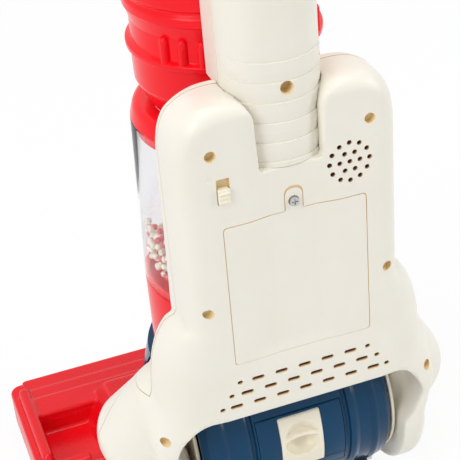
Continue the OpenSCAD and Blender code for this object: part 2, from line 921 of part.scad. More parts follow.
module suction_fan() {
    color([0.85, 0.85, 0.86]) {
        rod_x(-5, 12, fan_y, axis_z, 1);
        rod_x(10, 22, fan_y, axis_z, 5);
        rod_x(10, 11.4, fan_y, axis_z, 16);
        for (k = [0:6]) translate([11, fan_y, axis_z]) rotate([k * 360 / 7, 0, 0])
            translate([0, 4, -0.7]) cube([10, 11.2, 1.4]);
    }
}

module dust_drawer() {
    h = drawer_half;
    z1 = axis_z + 22;
    color([0.05, 0.22, 0.4])
    difference() {
        block(-h + 2.5, h - 2.5, tray_front, drum_y - 5, door_low, z1);
        block(-h + 4.5, h - 4.5, tray_front + 3, drum_y - 7, door_low + 2, z1 + 5);
    }
}

module drawer_door() {
    h = drawer_half;
    color([0.06, 0.24, 0.42])
    difference() {
        union() {
            intersection() {
                about_axis() difference() {
                    drum_skin(0);
                    translate([-1, -drum_half - 1]) square([drum_r - 3, 2 * drum_half + 2]);
                }
                block(-h, h, -10, tray_front - fit, door_low, door_top);
            }
            intersection() {
                block(-h + 2.5, h - 2.5, 5, tray_front - fit, door_low, axis_z + 22);
                rod_x(-big, big, drum_y, axis_z, drum_r - 1.5);
            }
        }
        block(-pinch_half - fit, pinch_half + fit, 0, tray_front + 1, pinch_low - fit, pinch_top + fit);
    }
}

module drawer_grip() {
    y0 = drum_y - drum_r;
    color([0.94, 0.92, 0.86])
    difference() {
        intersection() {
            block(-pinch_half, pinch_half, 0, tray_front - fit, pinch_low, pinch_top);
            rod_x(-big, big, drum_y, axis_z, drum_r + 1);
        }
        rod_x(-pinch_half + 3, pinch_half - 3, y0 + 2.5, axis_z + 18.5, 5.2);
        rod_x(-pinch_half + 3, pinch_half - 3, y0 + 1, axis_z + 1.5, 9);
    }
}

module roller_axle() {
    color([0.7, 0.7, 0.72]) rod_x(-59, 59, roller_y, roller_r, 2);
}

module rear_roller(s) {
    color([0.15, 0.15, 0.16])
    scale_side(s) difference() {
        union() {
            rod_x(40, 52.5, roller_y, roller_r, roller_r);
            rod_x(38.4, 54.1, roller_y, roller_r, 4);
        }
        rod_x(30, 60, roller_y, roller_r, 2 + run);
    }
}

module rear_roller_left() {
    rear_roller(-1);
}

module rear_roller_right() {
    rear_roller(1);
}

// Floor head

module neck() {
    color([0.05, 0.22, 0.4])
    difference() {
        block(-neck_half, neck_half, drum_y + 24, drum_y + 74, neck_low, neck_top);
        rod_x(-big, big, drum_y, axis_z, drum_r + 0.2);
        rod_y(drum_y, 200, 0, duct_z, duct_r);
    }
}

module head_form(i) {
    x = head_half - i;
    y0 = head_back + i;
    y1 = head_front - i;
    difference() {
        union() {
            translate([0, 0, 4]) linear_extrude(head_z - i - 4) rounded_box_2d(-x, x, y0, y1, 9 - i);
            bar_x(-x + 11, x - 11) polygon([
                [ridge_y + i, 6], [y1 - 2, 6], [y1 - 2, head_z + 3 - i], [y1 - 12, head_z + 4.5 - i],
                [ridge_y + i, head_z + 5 - i]]);
            intersection() {
                bar_x(-hood_half + i, hood_half - i) polygon([
                    [y0, 6], [head_front - 12, 6], [ridge_y + 14 - i, head_z + 2 - i],
                    [ridge_y + 2 - i, hood_z - i], [y0 + 18, hood_z - i], [y0, head_z]]);
                wall_y(0, 300) polygon([
                    [-hood_half + i, 0], [-hood_half + i, head_z], [-hood_half + 12 + i, hood_z + 4],
                    [hood_half - 12 - i, hood_z + 4], [hood_half - i, head_z], [hood_half - i, 0]]);
            }
        }
        rod_x(-hub_reach() - head_x - i, hub_reach() - head_x + i, drum_y, axis_z, head_clear + i);
    }
}

function hub_reach() = cheek_out + hub_h + 3;

module head_pan(i) {
    difference() {
        block(-rim_x + 4 - i, rim_x - 4 + i, head_back + 8 - i, ridge_y + i, pan_z - i, 80);
        block(-hood_half - i, hood_half + i, 0, 300, 0, 80);
    }
}

module head_cover() {
    color([0.85, 0.08, 0.1])
    difference() {
        union() {
            difference() {
                head_form(0);
                difference() {
                    head_form(wall);
                    head_pan(wall);
                }
                block(-head_half + wall, head_half - wall, head_back + wall, head_front - wall, 0, 6);
                head_pan(0);
            }
            both_sides() {
                block(rim_x - 4, rim_x + 4, head_back + 4, head_front - 14, head_z - 1, head_z + 4);
                rod_y(head_back + 4, head_front - 14, rim_x, head_z + 4, 4);
                rod_z(sole_z + sole_t, head_z + 2.5, 60, head_front - 24, 4.5);
                rod_z(sole_z + sole_t, head_z + 3, head_half - 26, head_front - 30, 4.5);
            }
        }
        both_sides() {
            rod_z(0, head_z - 6, 60, head_front - 24, pilot_r);
            rod_z(0, head_z - 6, head_half - 26, head_front - 30, pilot_r);
        }
        translate([-head_x, 0, 0])
            block(-neck_half - fit, neck_half + fit, 0, drum_y + 80, neck_low - fit, neck_top + fit);
    }
}

module sole_plate() {
    x = head_half - wall - 0.3;
    color([0.16, 0.16, 0.17])
    difference() {
        union() {
            translate([0, 0, sole_z]) linear_extrude(sole_t)
                rounded_box_2d(-x, x, head_back + wall + 0.3, head_front - wall - 0.3, 13);
            both_sides() {
                block(head_wheel_x - 9, head_wheel_x - 6, head_wheel_y - 4, head_wheel_y + 4, 3, 11);
                block(head_wheel_x + 6, head_wheel_x + 9, head_wheel_y - 4, head_wheel_y + 4, 3, 11);
            }
        }
        both_sides() {
            block(head_wheel_x - 6, head_wheel_x + 6, head_wheel_y - 10, head_wheel_y + 10, 0, 20);
            rod_x(head_wheel_x - 20, head_wheel_x + 20, head_wheel_y, wheel_r, 1.5 + fit);
            rod_z(0, 10, 60, head_front - 24, screw_hole_r);
            rod_z(0, 4.4, 60, head_front - 24, 3);
            rod_z(0, 10, head_half - 26, head_front - 30, screw_hole_r);
            rod_z(0, 4.4, head_half - 26, head_front - 30, 3);
        }
        translate([0, 0, -1]) linear_extrude(20)
            rounded_box_2d(-70, 70, ridge_y - 8, ridge_y + 6, 5);
    }
}

module glide_strip() {
    color([0.1, 0.1, 0.1]) linear_extrude(sole_z)
        rounded_box_2d(-110, 110, head_front - 15, head_front - 7, 3);
}

module head_wheel(s) {
    color([0.15, 0.15, 0.16])
    scale_side(s) difference() {
        rod_x(head_wheel_x - 5, head_wheel_x + 5, head_wheel_y, wheel_r, wheel_r);
        rod_x(head_wheel_x - 9, head_wheel_x + 9, head_wheel_y, wheel_r, 1.5 + run);
    }
}

module head_wheel_left() {
    head_wheel(-1);
}

module head_wheel_right() {
    head_wheel(1);
}

module head_axles() {
    color([0.7, 0.7, 0.72]) both_sides()
        rod_x(head_wheel_x - 9, head_wheel_x + 9, head_wheel_y, wheel_r, 1.5);
}

module head_screws() {
    color([0.7, 0.7, 0.72]) both_sides() for (p = [[60, head_front - 24], [head_half - 26, head_front - 30]]) {
        rod_z(sole_z - 0.4, 4.4, p[0], p[1], 2.8);
        rod_z(4.3, head_z - 8, p[0], p[1], screw_r);
    }
}

place() rear_casing();
place() front_casing();
place() stem_rear();
place() stem_front();
place() stem_collar();
place() stem_screw();
place() handle_left();
place() handle_right();
place() handle_screws();
place() casing_screws();
place() battery_cover();
place() cover_screw();
place() battery_tray();
place() battery_cells();
place() battery_contacts();
place() switch_knob();
place() switch_module();
place() circuit_board();
place() speaker();
place() clear_bin();
place() bin_base();
place() bead_motor();
place() bead_fan();
place() beads_cream();
place() beads_pink();
place() cyclone_lid();
place() cyclone_body();
place() cyclone_cap();
place() bin_apron();
place() hub_bush_left();
place() hub_bush_right();
place() drum_shell();
place() drum_end_left();
place() drum_end_right();
place() drum_bulkhead();
place() suction_motor();
place() suction_fan();
place() dust_drawer();
place() drawer_door();
place() drawer_grip();
place() roller_axle();
place() rear_roller_left();
place() rear_roller_right();
place() neck();
place_head() head_cover();
place_head() sole_plate();
place_head() glide_strip();
place_head() head_wheel_left();
place_head() head_wheel_right();
place_head() head_axles();
place_head() head_screws();
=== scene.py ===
"""Toy upright vacuum cleaner: the looks of every piece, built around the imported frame.

Lengths inside the shape functions are millimetres, measured from the middle of the casing (x),
from the casing's back (y) and from the floor (z); to_frame() turns them into the frame's metres.
"""
import math

import bmesh
import bpy
import numpy as np
from mathutils import Matrix, Vector


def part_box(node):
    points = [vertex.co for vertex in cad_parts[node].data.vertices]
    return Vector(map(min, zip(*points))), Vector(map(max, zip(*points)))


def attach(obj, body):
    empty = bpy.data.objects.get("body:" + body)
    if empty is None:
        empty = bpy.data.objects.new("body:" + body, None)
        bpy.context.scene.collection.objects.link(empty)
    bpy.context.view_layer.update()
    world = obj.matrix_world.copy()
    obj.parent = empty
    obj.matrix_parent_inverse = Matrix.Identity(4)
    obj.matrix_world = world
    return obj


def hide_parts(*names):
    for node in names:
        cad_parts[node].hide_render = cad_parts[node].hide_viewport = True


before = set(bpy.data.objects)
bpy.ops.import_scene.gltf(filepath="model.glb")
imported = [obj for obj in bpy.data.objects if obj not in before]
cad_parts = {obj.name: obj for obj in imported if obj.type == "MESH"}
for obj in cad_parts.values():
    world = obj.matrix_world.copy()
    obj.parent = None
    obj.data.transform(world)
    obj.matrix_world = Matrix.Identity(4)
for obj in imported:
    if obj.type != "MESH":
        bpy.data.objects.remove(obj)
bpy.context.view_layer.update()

bl_info = {
    "name": "Toy Vacuum Cleaner",
    "version": (1, 0, 0),
    "blender": (4, 5, 0),
    "location": "3D View > Sidebar > Vacuum",
    "description": "Dresses the packed toy vacuum cleaner with its shells, trim, beads and finishes",
    "category": "Object",
}

MM = 0.001
MIDDLE_X = (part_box("rear_casing")[0].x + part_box("rear_casing")[1].x) / 2
BACK_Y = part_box("rear_casing")[0].y
CASING_PLACE = np.array((MIDDLE_X, BACK_Y, 0.0))


def span(node):
    """A CAD node's lowest and highest corner, in millimetres from the casing's back."""
    return [(np.array(corner) - CASING_PLACE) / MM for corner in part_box(node)]


def limits(node, axis):
    """Where a CAD node begins and ends along an axis."""
    low, high = span(node)
    return low[axis], high[axis]


# Sizes taken from the frame
HUB_X = limits("rear_casing", 0)[1]
SHOULDER_Z = limits("rear_casing", 2)[1]
BIN_R = limits("clear_bin", 0)[1]
BIN_Y = sum(limits("clear_bin", 1)) / 2
BIN_LOW, BIN_TOP = limits("clear_bin", 2)
AXIS_Y = sum(limits("drum_end_left", 1)) / 2
AXIS_Z = sum(limits("drum_end_left", 2)) / 2
DRUM_R = AXIS_Y - limits("drawer_door", 1)[0]
DRUM_HALF = limits("drum_shell", 0)[1]
STEM_LOW, STEM_TOP = limits("stem_rear", 2)
HANDLE_TOP = limits("handle_left", 2)[1]
HEAD_X = sum(limits("head_cover", 0)) / 2
HEAD_HALF = limits("head_cover", 0)[1] - HEAD_X
HEAD_BACK, HEAD_FRONT = limits("head_cover", 1)

# Depth, half width and wall of the casing's box
BODY_D, BODY_HALF, WALL = 38.0, 68.5, 2.5


def srgb(*screen):
    """A colour given in the 0 to 255 numbers of a screen, as linear light."""
    return tuple(((c / 255 + 0.055) / 1.055) ** 2.4 if c > 10 else c / 255 / 12.92 for c in screen)


# User's sizes and colours


class VacuumSizes(bpy.types.PropertyGroup):
    """Sizes of the visible detail."""

    mesh_step: bpy.props.FloatProperty(
        name="Shell mesh step", description="Edge length of the shells' meshes",
        default=0.0015, unit="LENGTH")
    seam: bpy.props.FloatProperty(
        name="Seam", description="Gap between the moulded halves and round the cover",
        default=0.0005, unit="LENGTH")
    valley: bpy.props.FloatProperty(
        name="Valley depth", description="Depth of the valley down the back",
        default=0.0021, unit="LENGTH")
    rib: bpy.props.FloatProperty(
        name="Rib height", description="How far the stem's ribs stand out",
        default=0.0009, unit="LENGTH")
    bead: bpy.props.FloatProperty(
        name="Bead diameter", description="Diameter of a bead in the clear bin",
        default=0.0042, unit="LENGTH")
    bead_count: bpy.props.IntProperty(
        name="Beads", description="Most beads that the heap may hold", default=520)


class VacuumColours(bpy.types.PropertyGroup):
    """Colours of the plastics."""

    cream: bpy.props.FloatVectorProperty(
        name="Casing", description="Cream plastic of the casing",
        default=srgb(240, 236, 224), subtype="COLOR")
    # Recess: tan painted shade for the cream walls deep in holes, seams and the shells' hollow
    recess_painted_shade: bpy.props.FloatVectorProperty(
        name="Recess", description="Cream plastic deep in holes and seams",
        default=srgb(240, 218, 172), subtype="COLOR")
    ivory: bpy.props.FloatVectorProperty(
        name="Trim", description="Ivory plastic of the switch and the drawer's grip",
        default=srgb(246, 239, 220), subtype="COLOR")
    red: bpy.props.FloatVectorProperty(
        name="Cyclone and bin base", description="Red plastic", default=srgb(250, 16, 32), subtype="COLOR")
    navy: bpy.props.FloatVectorProperty(
        name="Drum", description="Navy plastic", default=srgb(2, 64, 100), subtype="COLOR")


# Materials


def node_group(name, inputs, outputs):
    """An empty shader node group with named sockets."""
    group = bpy.data.node_groups.new(name, "ShaderNodeTree")
    for label, kind, value in inputs:
        socket = group.interface.new_socket(label, in_out="INPUT", socket_type=kind)
        if value is not None:
            socket.default_value = value
    for label, kind in outputs:
        group.interface.new_socket(label, in_out="OUTPUT", socket_type=kind)
    return group, group.nodes.new("NodeGroupInput"), group.nodes.new("NodeGroupOutput")


def feed(tree, node, **inputs):
    """Sets a node's inputs to values or sockets; a key is a name with _ for spaces, or i and a number."""
    for key, value in inputs.items():
        numbered = key[0] == "i" and key[1:].isdigit()
        socket = node.inputs[int(key[1:]) if numbered else key.replace("_", " ")]
        if isinstance(value, bpy.types.NodeSocket):
            tree.links.new(value, socket)
        else:
            socket.default_value = value
    return node


def wire(tree, kind, settings=None, **inputs):
    """Adds a node to a tree, with its settings and inputs."""
    node = tree.nodes.new(kind)
    for key, value in (settings or {}).items():
        setattr(node, key, value)
    return feed(tree, node, **inputs)


def math_node(tree, operation, first, second, clamp=False):
    """What a Math node makes of two values."""
    settings = {"operation": operation, "use_clamp": clamp}
    return wire(tree, "ShaderNodeMath", settings, i0=first, i1=second).outputs[0]


def mix_colour(tree, factor, first, second):
    """Two colours mixed by a factor."""
    return wire(tree, "ShaderNodeMix", {"data_type": "RGBA"}, i0=factor, i6=first, i7=second).outputs[2]


def noise_at(tree, place, scale, detail=2.0, **more):
    """Noise between 0 and 1."""
    return wire(tree, "ShaderNodeTexNoise", Vector=place, Scale=scale, Detail=detail, **more).outputs["Fac"]


def stretched(tree, place, scale):
    """Coordinates scaled along each axis."""
    return wire(tree, "ShaderNodeMapping", Vector=place, Scale=scale).outputs[0]


def rescale(tree, value, **ends):
    """A value taken from one range to another; an end that isn't given is 0 or 1."""
    return wire(tree, "ShaderNodeMapRange", Value=value, **ends).outputs[0]


def lifted(tree, height, strength, distance):
    """A surface's normal, bumped by a height."""
    return wire(tree, "ShaderNodeBump", Height=height, Strength=strength, Distance=distance).outputs[0]


def moulded_group():
    """Moulded plastic: clouding, specks of dust, hairline scuffs and a fine grain."""
    tree, given, result = node_group(
        "moulded_plastic",
        [("Position", "NodeSocketVector", None), ("Colour", "NodeSocketColor", (0.8, 0.8, 0.8, 1)),
         ("Shade", "NodeSocketColor", (0.7, 0.7, 0.7, 1)), ("Clouding", "NodeSocketFloat", 0.2),
         ("Gloss", "NodeSocketFloat", 0.3), ("Scuffs", "NodeSocketFloat", 0.1),
         ("Grain", "NodeSocketFloat", 2400.0)],
        [("Colour", "NodeSocketColor"), ("Roughness", "NodeSocketFloat"), ("Height", "NodeSocketFloat")])
    sockets = given.outputs
    place = sockets["Position"]
    cloud = noise_at(tree, place, 26.0, detail=3.0, Roughness=0.55)
    fine = noise_at(tree, place, sockets["Grain"], detail=1.0)
    streak = noise_at(tree, stretched(tree, place, (900.0, 620.0, 60.0)), 1.0)
    cells = wire(tree, "ShaderNodeTexVoronoi", Vector=place, Scale=150.0).outputs["Distance"]
    speck = math_node(tree, "LESS_THAN", cells, 0.045)
    scuff = rescale(tree, streak, From_Min=0.66, From_Max=0.76)
    scuff = math_node(tree, "MULTIPLY", scuff, sockets["Scuffs"])
    clouding = rescale(tree, cloud, From_Min=0.35, From_Max=0.7)
    clouding = math_node(tree, "MULTIPLY", clouding, sockets["Clouding"], clamp=True)
    marks = math_node(tree, "MULTIPLY", speck, sockets["Scuffs"])
    colour = mix_colour(tree, clouding, sockets["Colour"], sockets["Shade"])
    colour = mix_colour(tree, marks, colour, sockets["Shade"])
    rough = math_node(tree, "MULTIPLY", math_node(tree, "SUBTRACT", cloud, 0.5), 0.12)
    rough = math_node(tree, "ADD", sockets["Gloss"], rough)
    rough = math_node(tree, "ADD", rough, scuff, clamp=True)
    height = math_node(tree, "ADD", fine, math_node(tree, "MULTIPLY", scuff, -0.6))
    feed(tree, result, Colour=colour, Roughness=rough, Height=height)
    return tree


def plain_material(name):
    """A new material, its tree, its shader and the object's own coordinates."""
    made = bpy.data.materials.new(name)
    made.use_nodes = True
    tree = made.node_tree
    shader = tree.nodes["Principled BSDF"]
    place = tree.nodes.new("ShaderNodeTexCoord").outputs["Object"]
    return made, tree, shader, place


def moulded(name, colour, shade, gloss, clouding=0.2, scuffs=0.08, grain=2400.0, bump=0.02, specular=0.5):
    """A moulded plastic in two close tones."""
    made, tree, shader, place = plain_material(name)
    group = tree.nodes.new("ShaderNodeGroup")
    group.node_tree = FINISHES["moulded_group"]
    feed(tree, group, Position=place, Colour=(*colour, 1), Shade=(*shade, 1), Gloss=gloss,
         Clouding=clouding, Scuffs=scuffs, Grain=grain)
    feed(tree, shader, Base_Color=group.outputs["Colour"], Roughness=group.outputs["Roughness"],
         Normal=lifted(tree, group.outputs["Height"], bump, 0.0002), Specular_IOR_Level=specular)
    return made


def vent_recess(name, rim, deep):
    """The walls of a vent, with painted shade: the casing's recess tone at the rim, painted darker further
    in.
    """
    made, tree, shader, place = plain_material(name)
    depth = wire(tree, "ShaderNodeSeparateXYZ", Vector=place).outputs["Y"]
    # Painted shade: the colour darkens with depth into the vent
    share = rescale(tree, depth, From_Min=BACK_Y + 0.5 * MM, From_Max=BACK_Y + 1.7 * MM)
    noise = noise_at(tree, place, 900.0)
    tone = mix_colour(tree, share, (*rim, 1), (*deep, 1))
    tone = mix_colour(tree, math_node(tree, "MULTIPLY", noise, 0.2), tone, (*deep, 1))
    feed(tree, shader, Base_Color=tone, Roughness=rescale(tree, noise, To_Min=0.45, To_Max=0.6))
    return made


def brushed_steel(name, colour, rough):
    """Turned or rolled metal with fine lines."""
    made, tree, shader, place = plain_material(name)
    noise = noise_at(tree, stretched(tree, place, (300.0, 300.0, 5200.0)), 1.0, detail=3.0)
    tone = mix_colour(tree, noise, (*colour, 1), (*[0.7 * c for c in colour], 1))
    rough = math_node(tree, "ADD", math_node(tree, "MULTIPLY", noise, 0.2), rough)
    feed(tree, shader, Base_Color=tone, Roughness=rough, Metallic=1.0,
         Normal=lifted(tree, noise, 0.15, 0.0001))
    return made


def clear_plastic(name):
    """Clear, faintly grey styrene with a few hairline marks."""
    made, tree, shader, place = plain_material(name)
    noise = noise_at(tree, stretched(tree, place, (240.0, 240.0, 30.0)), 1.0)
    tone = mix_colour(tree, noise, (0.95, 0.95, 0.96, 1), (0.9, 0.9, 0.91, 1))
    feed(tree, shader, Base_Color=tone, Roughness=rescale(tree, noise, To_Min=0.02, To_Max=0.07),
         Transmission_Weight=1.0, IOR=1.05, Coat_Weight=0.5, Coat_Roughness=0.04)
    return made


# Where the cells' copper band begins and is full, in metres above the floor
CELL_BAND = (0.2085, 0.2095)


def cell_wrap(name):
    """Printed foil round a dry cell: a dark sleeve with a plain band."""
    made, tree, shader, place = plain_material(name)
    height = wire(tree, "ShaderNodeSeparateXYZ", Vector=place).outputs["Z"]
    band = rescale(tree, height, From_Min=CELL_BAND[0], From_Max=CELL_BAND[1])
    noise = noise_at(tree, place, 140.0)
    tone = mix_colour(tree, band, (*srgb(36, 48, 52), 1), (*srgb(176, 128, 58), 1))
    tone = mix_colour(tree, math_node(tree, "MULTIPLY", noise, 0.25), tone, (0.02, 0.02, 0.02, 1))
    feed(tree, shader, Base_Color=tone, Roughness=rescale(tree, noise, To_Min=0.22, To_Max=0.38),
         Metallic=0.4)
    return made


def felt(name):
    """Pressed black felt under the head."""
    made, tree, shader, place = plain_material(name)
    fibre = noise_at(tree, place, 1800.0, detail=4.0, Roughness=0.7)
    tone = mix_colour(tree, fibre, (0.01, 0.01, 0.011, 1), (0.05, 0.05, 0.052, 1))
    feed(tree, shader, Base_Color=tone, Roughness=0.95, Normal=lifted(tree, fibre, 0.6, 0.0006))
    return made


def circuit_green(name):
    """Solder mask with copper lines under it."""
    made, tree, shader, place = plain_material(name)
    flat = stretched(tree, place, (1.0, 0.0, 1.0))
    tracks = wire(tree, "ShaderNodeTexBrick", Vector=flat, Scale=240.0, Mortar_Size=0.03).outputs["Fac"]
    tone = mix_colour(tree, tracks, (*srgb(16, 88, 44), 1), (*srgb(40, 128, 66), 1))
    noise = noise_at(tree, place, 500.0)
    feed(tree, shader, Base_Color=tone, Roughness=rescale(tree, noise, To_Min=0.25, To_Max=0.4))
    return made


FINISHES = {}


def make_finishes(colours):
    """Every material of the object, by the name of its finish."""
    FINISHES["moulded_group"] = moulded_group()
    FINISHES["cream"] = moulded(
        "cream_plastic", colours.cream, srgb(232, 226, 208), gloss=0.36,
        clouding=0.28, scuffs=0.05, bump=0.03)
    # Painted shade: the cream plastic deep in holes and seams is given a darker tan tone
    FINISHES["recess_painted_shade"] = moulded(
        "cream_recess", colours.recess_painted_shade, srgb(222, 190, 136), gloss=0.5, clouding=0.5, scuffs=0.05)
    # Painted shade: a darker copy of the red plastic for the floor head
    FINISHES["head_red_painted_shade"] = moulded(
        "floor_head_red", srgb(234, 13, 28), srgb(216, 9, 22), gloss=0.26,
        clouding=0.3, scuffs=0.15, specular=0.34)
    # Painted shade for the vents and speaker holes, darker deeper in
    FINISHES["painted_vent_shade"] = vent_recess("vent_recess", colours.recess_painted_shade, srgb(150, 92, 64))
    FINISHES["ivory"] = moulded(
        "ivory_plastic", colours.ivory, srgb(238, 226, 198), gloss=0.34, clouding=0.4, scuffs=0.05)
    FINISHES["red"] = moulded(
        "red_plastic", colours.red, srgb(236, 12, 26), gloss=0.18,
        clouding=0.35, scuffs=0.06, bump=0.015, specular=0.22)
    FINISHES["navy"] = moulded(
        "navy_plastic", colours.navy, srgb(2, 50, 82), gloss=0.2,
        clouding=0.4, scuffs=0.1, bump=0.015, specular=0.24)
    FINISHES["black"] = moulded(
        "black_rubber", srgb(34, 34, 36), srgb(22, 22, 24), gloss=0.55,
        clouding=0.5, scuffs=0.2, grain=1500.0, bump=0.1)
    FINISHES["bead_cream"] = moulded(
        "bead_cream", srgb(246, 240, 222), srgb(232, 220, 196), gloss=0.45, bump=0.1)
    FINISHES["bead_pink"] = moulded(
        "bead_pink", srgb(238, 120, 126), srgb(226, 84, 92), gloss=0.45, bump=0.1)
    FINISHES["steel"] = brushed_steel("screw_steel", (0.66, 0.66, 0.67), 0.22)
    FINISHES["motor"] = brushed_steel("motor_can", (0.55, 0.55, 0.57), 0.3)
    FINISHES["clear"] = clear_plastic("clear_styrene")
    FINISHES["cell"] = cell_wrap("cell_sleeve")
    FINISHES["board"] = circuit_green("circuit_board_mask")
    FINISHES["felt"] = felt("black_felt")


# Mesh helpers

# Edges of more degrees than this are shown as edges
SHARP = 32.0


def to_frame(points):
    """Millimetres from the casing's back, as metres in the frame."""
    return np.asarray(points, float) * MM + CASING_PLACE


def placed(name, data):
    """A new object in the scene."""
    made = bpy.data.objects.new(name, data)
    bpy.context.scene.collection.objects.link(made)
    return made


def mesh_object(name, points, faces, finish, sharp=SHARP):
    """A piece in one finish, from points in millimetres."""
    mesh = bpy.data.meshes.new(name)
    mesh.from_pydata(to_frame(points).tolist(), [], [list(map(int, face)) for face in faces])
    mesh.materials.append(FINISHES[finish])
    made = placed(name, mesh)
    smooth(made, sharp)
    return made


def smooth(piece, sharp=SHARP):
    """Smooth shading that breaks at the sharp edges."""
    piece.data.shade_smooth()
    piece.data.set_sharp_from_angle(angle=math.radians(sharp))


def bake(piece):
    """Turns a piece's modifiers into its plain mesh."""
    bpy.context.view_layer.update()
    graph = bpy.context.evaluated_depsgraph_get()
    mesh = bpy.data.meshes.new_from_object(piece.evaluated_get(graph), depsgraph=graph)
    piece.modifiers.clear()
    old, piece.data = piece.data, mesh
    mesh.name = piece.name
    bpy.data.meshes.remove(old)


def discard(*pieces):
    """Deletes pieces and their meshes."""
    for piece in pieces:
        mesh = piece.data
        bpy.data.objects.remove(piece)
        bpy.data.meshes.remove(mesh)


def carve(piece, cutter, operation="DIFFERENCE", sharp=SHARP):
    """Cuts a closed piece by another, which is used up; the cut faces keep the cutter's finish."""
    cut = piece.modifiers.new("carve", "BOOLEAN")
    cut.solver = "MANIFOLD"
    cut.operation = operation
    cut.material_mode = "TRANSFER"
    cut.object = cutter
    bake(piece)
    discard(cutter)
    smooth(piece, sharp)


def bevel_edges(piece, width, segments=3, angle=40.0, sharp=SHARP):
    """Rounds the edges of more than an angle by a width in millimetres."""
    edge = piece.modifiers.new("edge", "BEVEL")
    edge.width = width * MM
    edge.segments = segments
    edge.limit_method = "ANGLE"
    edge.angle_limit = math.radians(angle)
    bake(piece)
    smooth(piece, sharp)


def copy_of(piece, name):
    """A second piece with a mesh of its own."""
    return placed(name, piece.data.copy())


def joined(name, pieces):
    """One mesh of several pieces that keeps their finishes."""
    whole = bmesh.new()
    mesh = bpy.data.meshes.new(name)
    slots = []
    for piece in pieces:
        start = len(whole.faces)
        whole.from_mesh(piece.data)
        whole.faces.ensure_lookup_table()
        own = list(piece.data.materials)
        for face in whole.faces[start:]:
            finish = own[face.material_index]
            if finish not in slots:
                slots.append(finish)
            face.material_index = slots.index(finish)
    whole.to_mesh(mesh)
    whole.free()
    for finish in slots:
        mesh.materials.append(finish)
    discard(*pieces)
    return placed(name, mesh)


def dress(piece, body, slot, *nodes):
    """Attaches a finished piece to the body it rides on and hides the CAD nodes it stands for; its slot is
    not used.
    """
    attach(piece, body)
    for node in nodes:
        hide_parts(node)


def rounded_outline(corners, closed=True, steps=6):
    """Points along an outline whose corners are (a, b, radius)."""
    points = []
    corners = [c for k, c in enumerate(corners) if k == 0 or math.dist(c[:2], corners[k - 1][:2]) > 1e-6]
    count = len(corners)
    for number, (a, b, radius) in enumerate(corners):
        here = np.array((a, b), float)
        if radius <= 0 or (not closed and number in (0, count - 1)):
            points.append(here)
            continue
        back = np.array(corners[number - 1][:2], float) - here
        ahead = np.array(corners[(number + 1) % count][:2], float) - here
        long_back, long_ahead = np.linalg.norm(back), np.linalg.norm(ahead)
        back, ahead = back / long_back, ahead / long_ahead
        half = math.acos(max(-1.0, min(1.0, float(back @ ahead)))) / 2
        reach = min(radius / math.tan(half), 0.49 * long_back, 0.49 * long_ahead)
        start, end = here + back * reach, here + ahead * reach
        for step in range(steps + 1):
            t = step / steps
            points.append((1 - t) ** 2 * start + 2 * t * (1 - t) * here + t * t * end)
    return points


# For each axis, the numbers of the axis itself and of the two across it
AXES = {"x": (0, 1, 2), "y": (1, 0, 2), "z": (2, 0, 1)}


def grid_faces(rows, sides, closed=False, around=True):
    """Quads between rows of points; closed joins the last row to the first, around each row's two ends."""
    faces = []
    for row in range(rows if closed else rows - 1):
        after = (row + 1) % rows
        for side in range(sides if around else sides - 1):
            beside = (side + 1) % sides
            faces.append((row * sides + side, row * sides + beside,
                          after * sides + beside, after * sides + side))
    return faces


def turned(name, profile, finish, axis="z", centre=None, sides=144, closed=True, sharp=SHARP):
    """A piece turned from an outline of (radius, distance along the axis)."""
    centre = centre or ((0.0, BIN_Y) if axis == "z" else (AXIS_Y, AXIS_Z))
    _, first, second = AXES[axis]
    angle = np.linspace(0, 2 * math.pi, sides, endpoint=False)
    points = []
    for radius, along in profile:
        ring = np.full((sides, 3), along, float)
        ring[:, first] = centre[0] + radius * np.cos(angle)
        ring[:, second] = centre[1] + radius * np.sin(angle)
        points.append(ring)
    faces = grid_faces(len(profile), sides, closed)
    made = mesh_object(name, np.concatenate(points), faces, finish, sharp)
    tidy_mesh(made, sharp)
    return made


def rod(name, radius, low, high, finish, axis="x", centre=None, sides=48):
    """A plain cylinder along an axis."""
    profile = [(0, low), (radius, low), (radius, high), (0, high)]
    return turned(name, profile, finish, axis, centre, sides, closed=False)


def tidy_mesh(piece, sharp=SHARP):
    """Merges doubles, drops faces without area and turns the faces outwards."""
    work = bmesh.new()
    work.from_mesh(piece.data)
    bmesh.ops.remove_doubles(work, verts=work.verts, dist=1e-7)
    bmesh.ops.dissolve_degenerate(work, edges=work.edges, dist=1e-7)
    bmesh.ops.recalc_face_normals(work, faces=work.faces)
    work.to_mesh(piece.data)
    work.free()
    smooth(piece, sharp)


def prism(name, outline, axis, low, high, finish, bevel=0.0):
    """A plate with the outline given across one axis; x takes (y, z), y takes (x, z), z takes (x, y)."""
    count = len(outline)
    along, first, second = AXES[axis]
    points = np.zeros((2 * count, 3))
    for end, place in enumerate((low, high)):
        part = points[end * count:(end + 1) * count]
        part[:, along] = place
        part[:, first] = [p[0] for p in outline]
        part[:, second] = [p[1] for p in outline]
    faces = [tuple(range(count)), tuple(range(2 * count - 1, count - 1, -1))]
    faces += [(k, k + count, (k + 1) % count + count, (k + 1) % count) for k in range(count)]
    made = mesh_object(name, points, faces, finish)
    tidy_mesh(made)
    if bevel:
        bevel_edges(made, bevel)
    return made


def box(name, low, high, finish, bevel=0.0):
    """A block between two corners."""
    outline = [(low[0], low[1]), (high[0], low[1]), (high[0], high[1]), (low[0], high[1])]
    return prism(name, outline, "z", low[2], high[2], finish, bevel)


# Shells from a distance field


# How often the points of a net are moved onto the surface
POLISH = 2


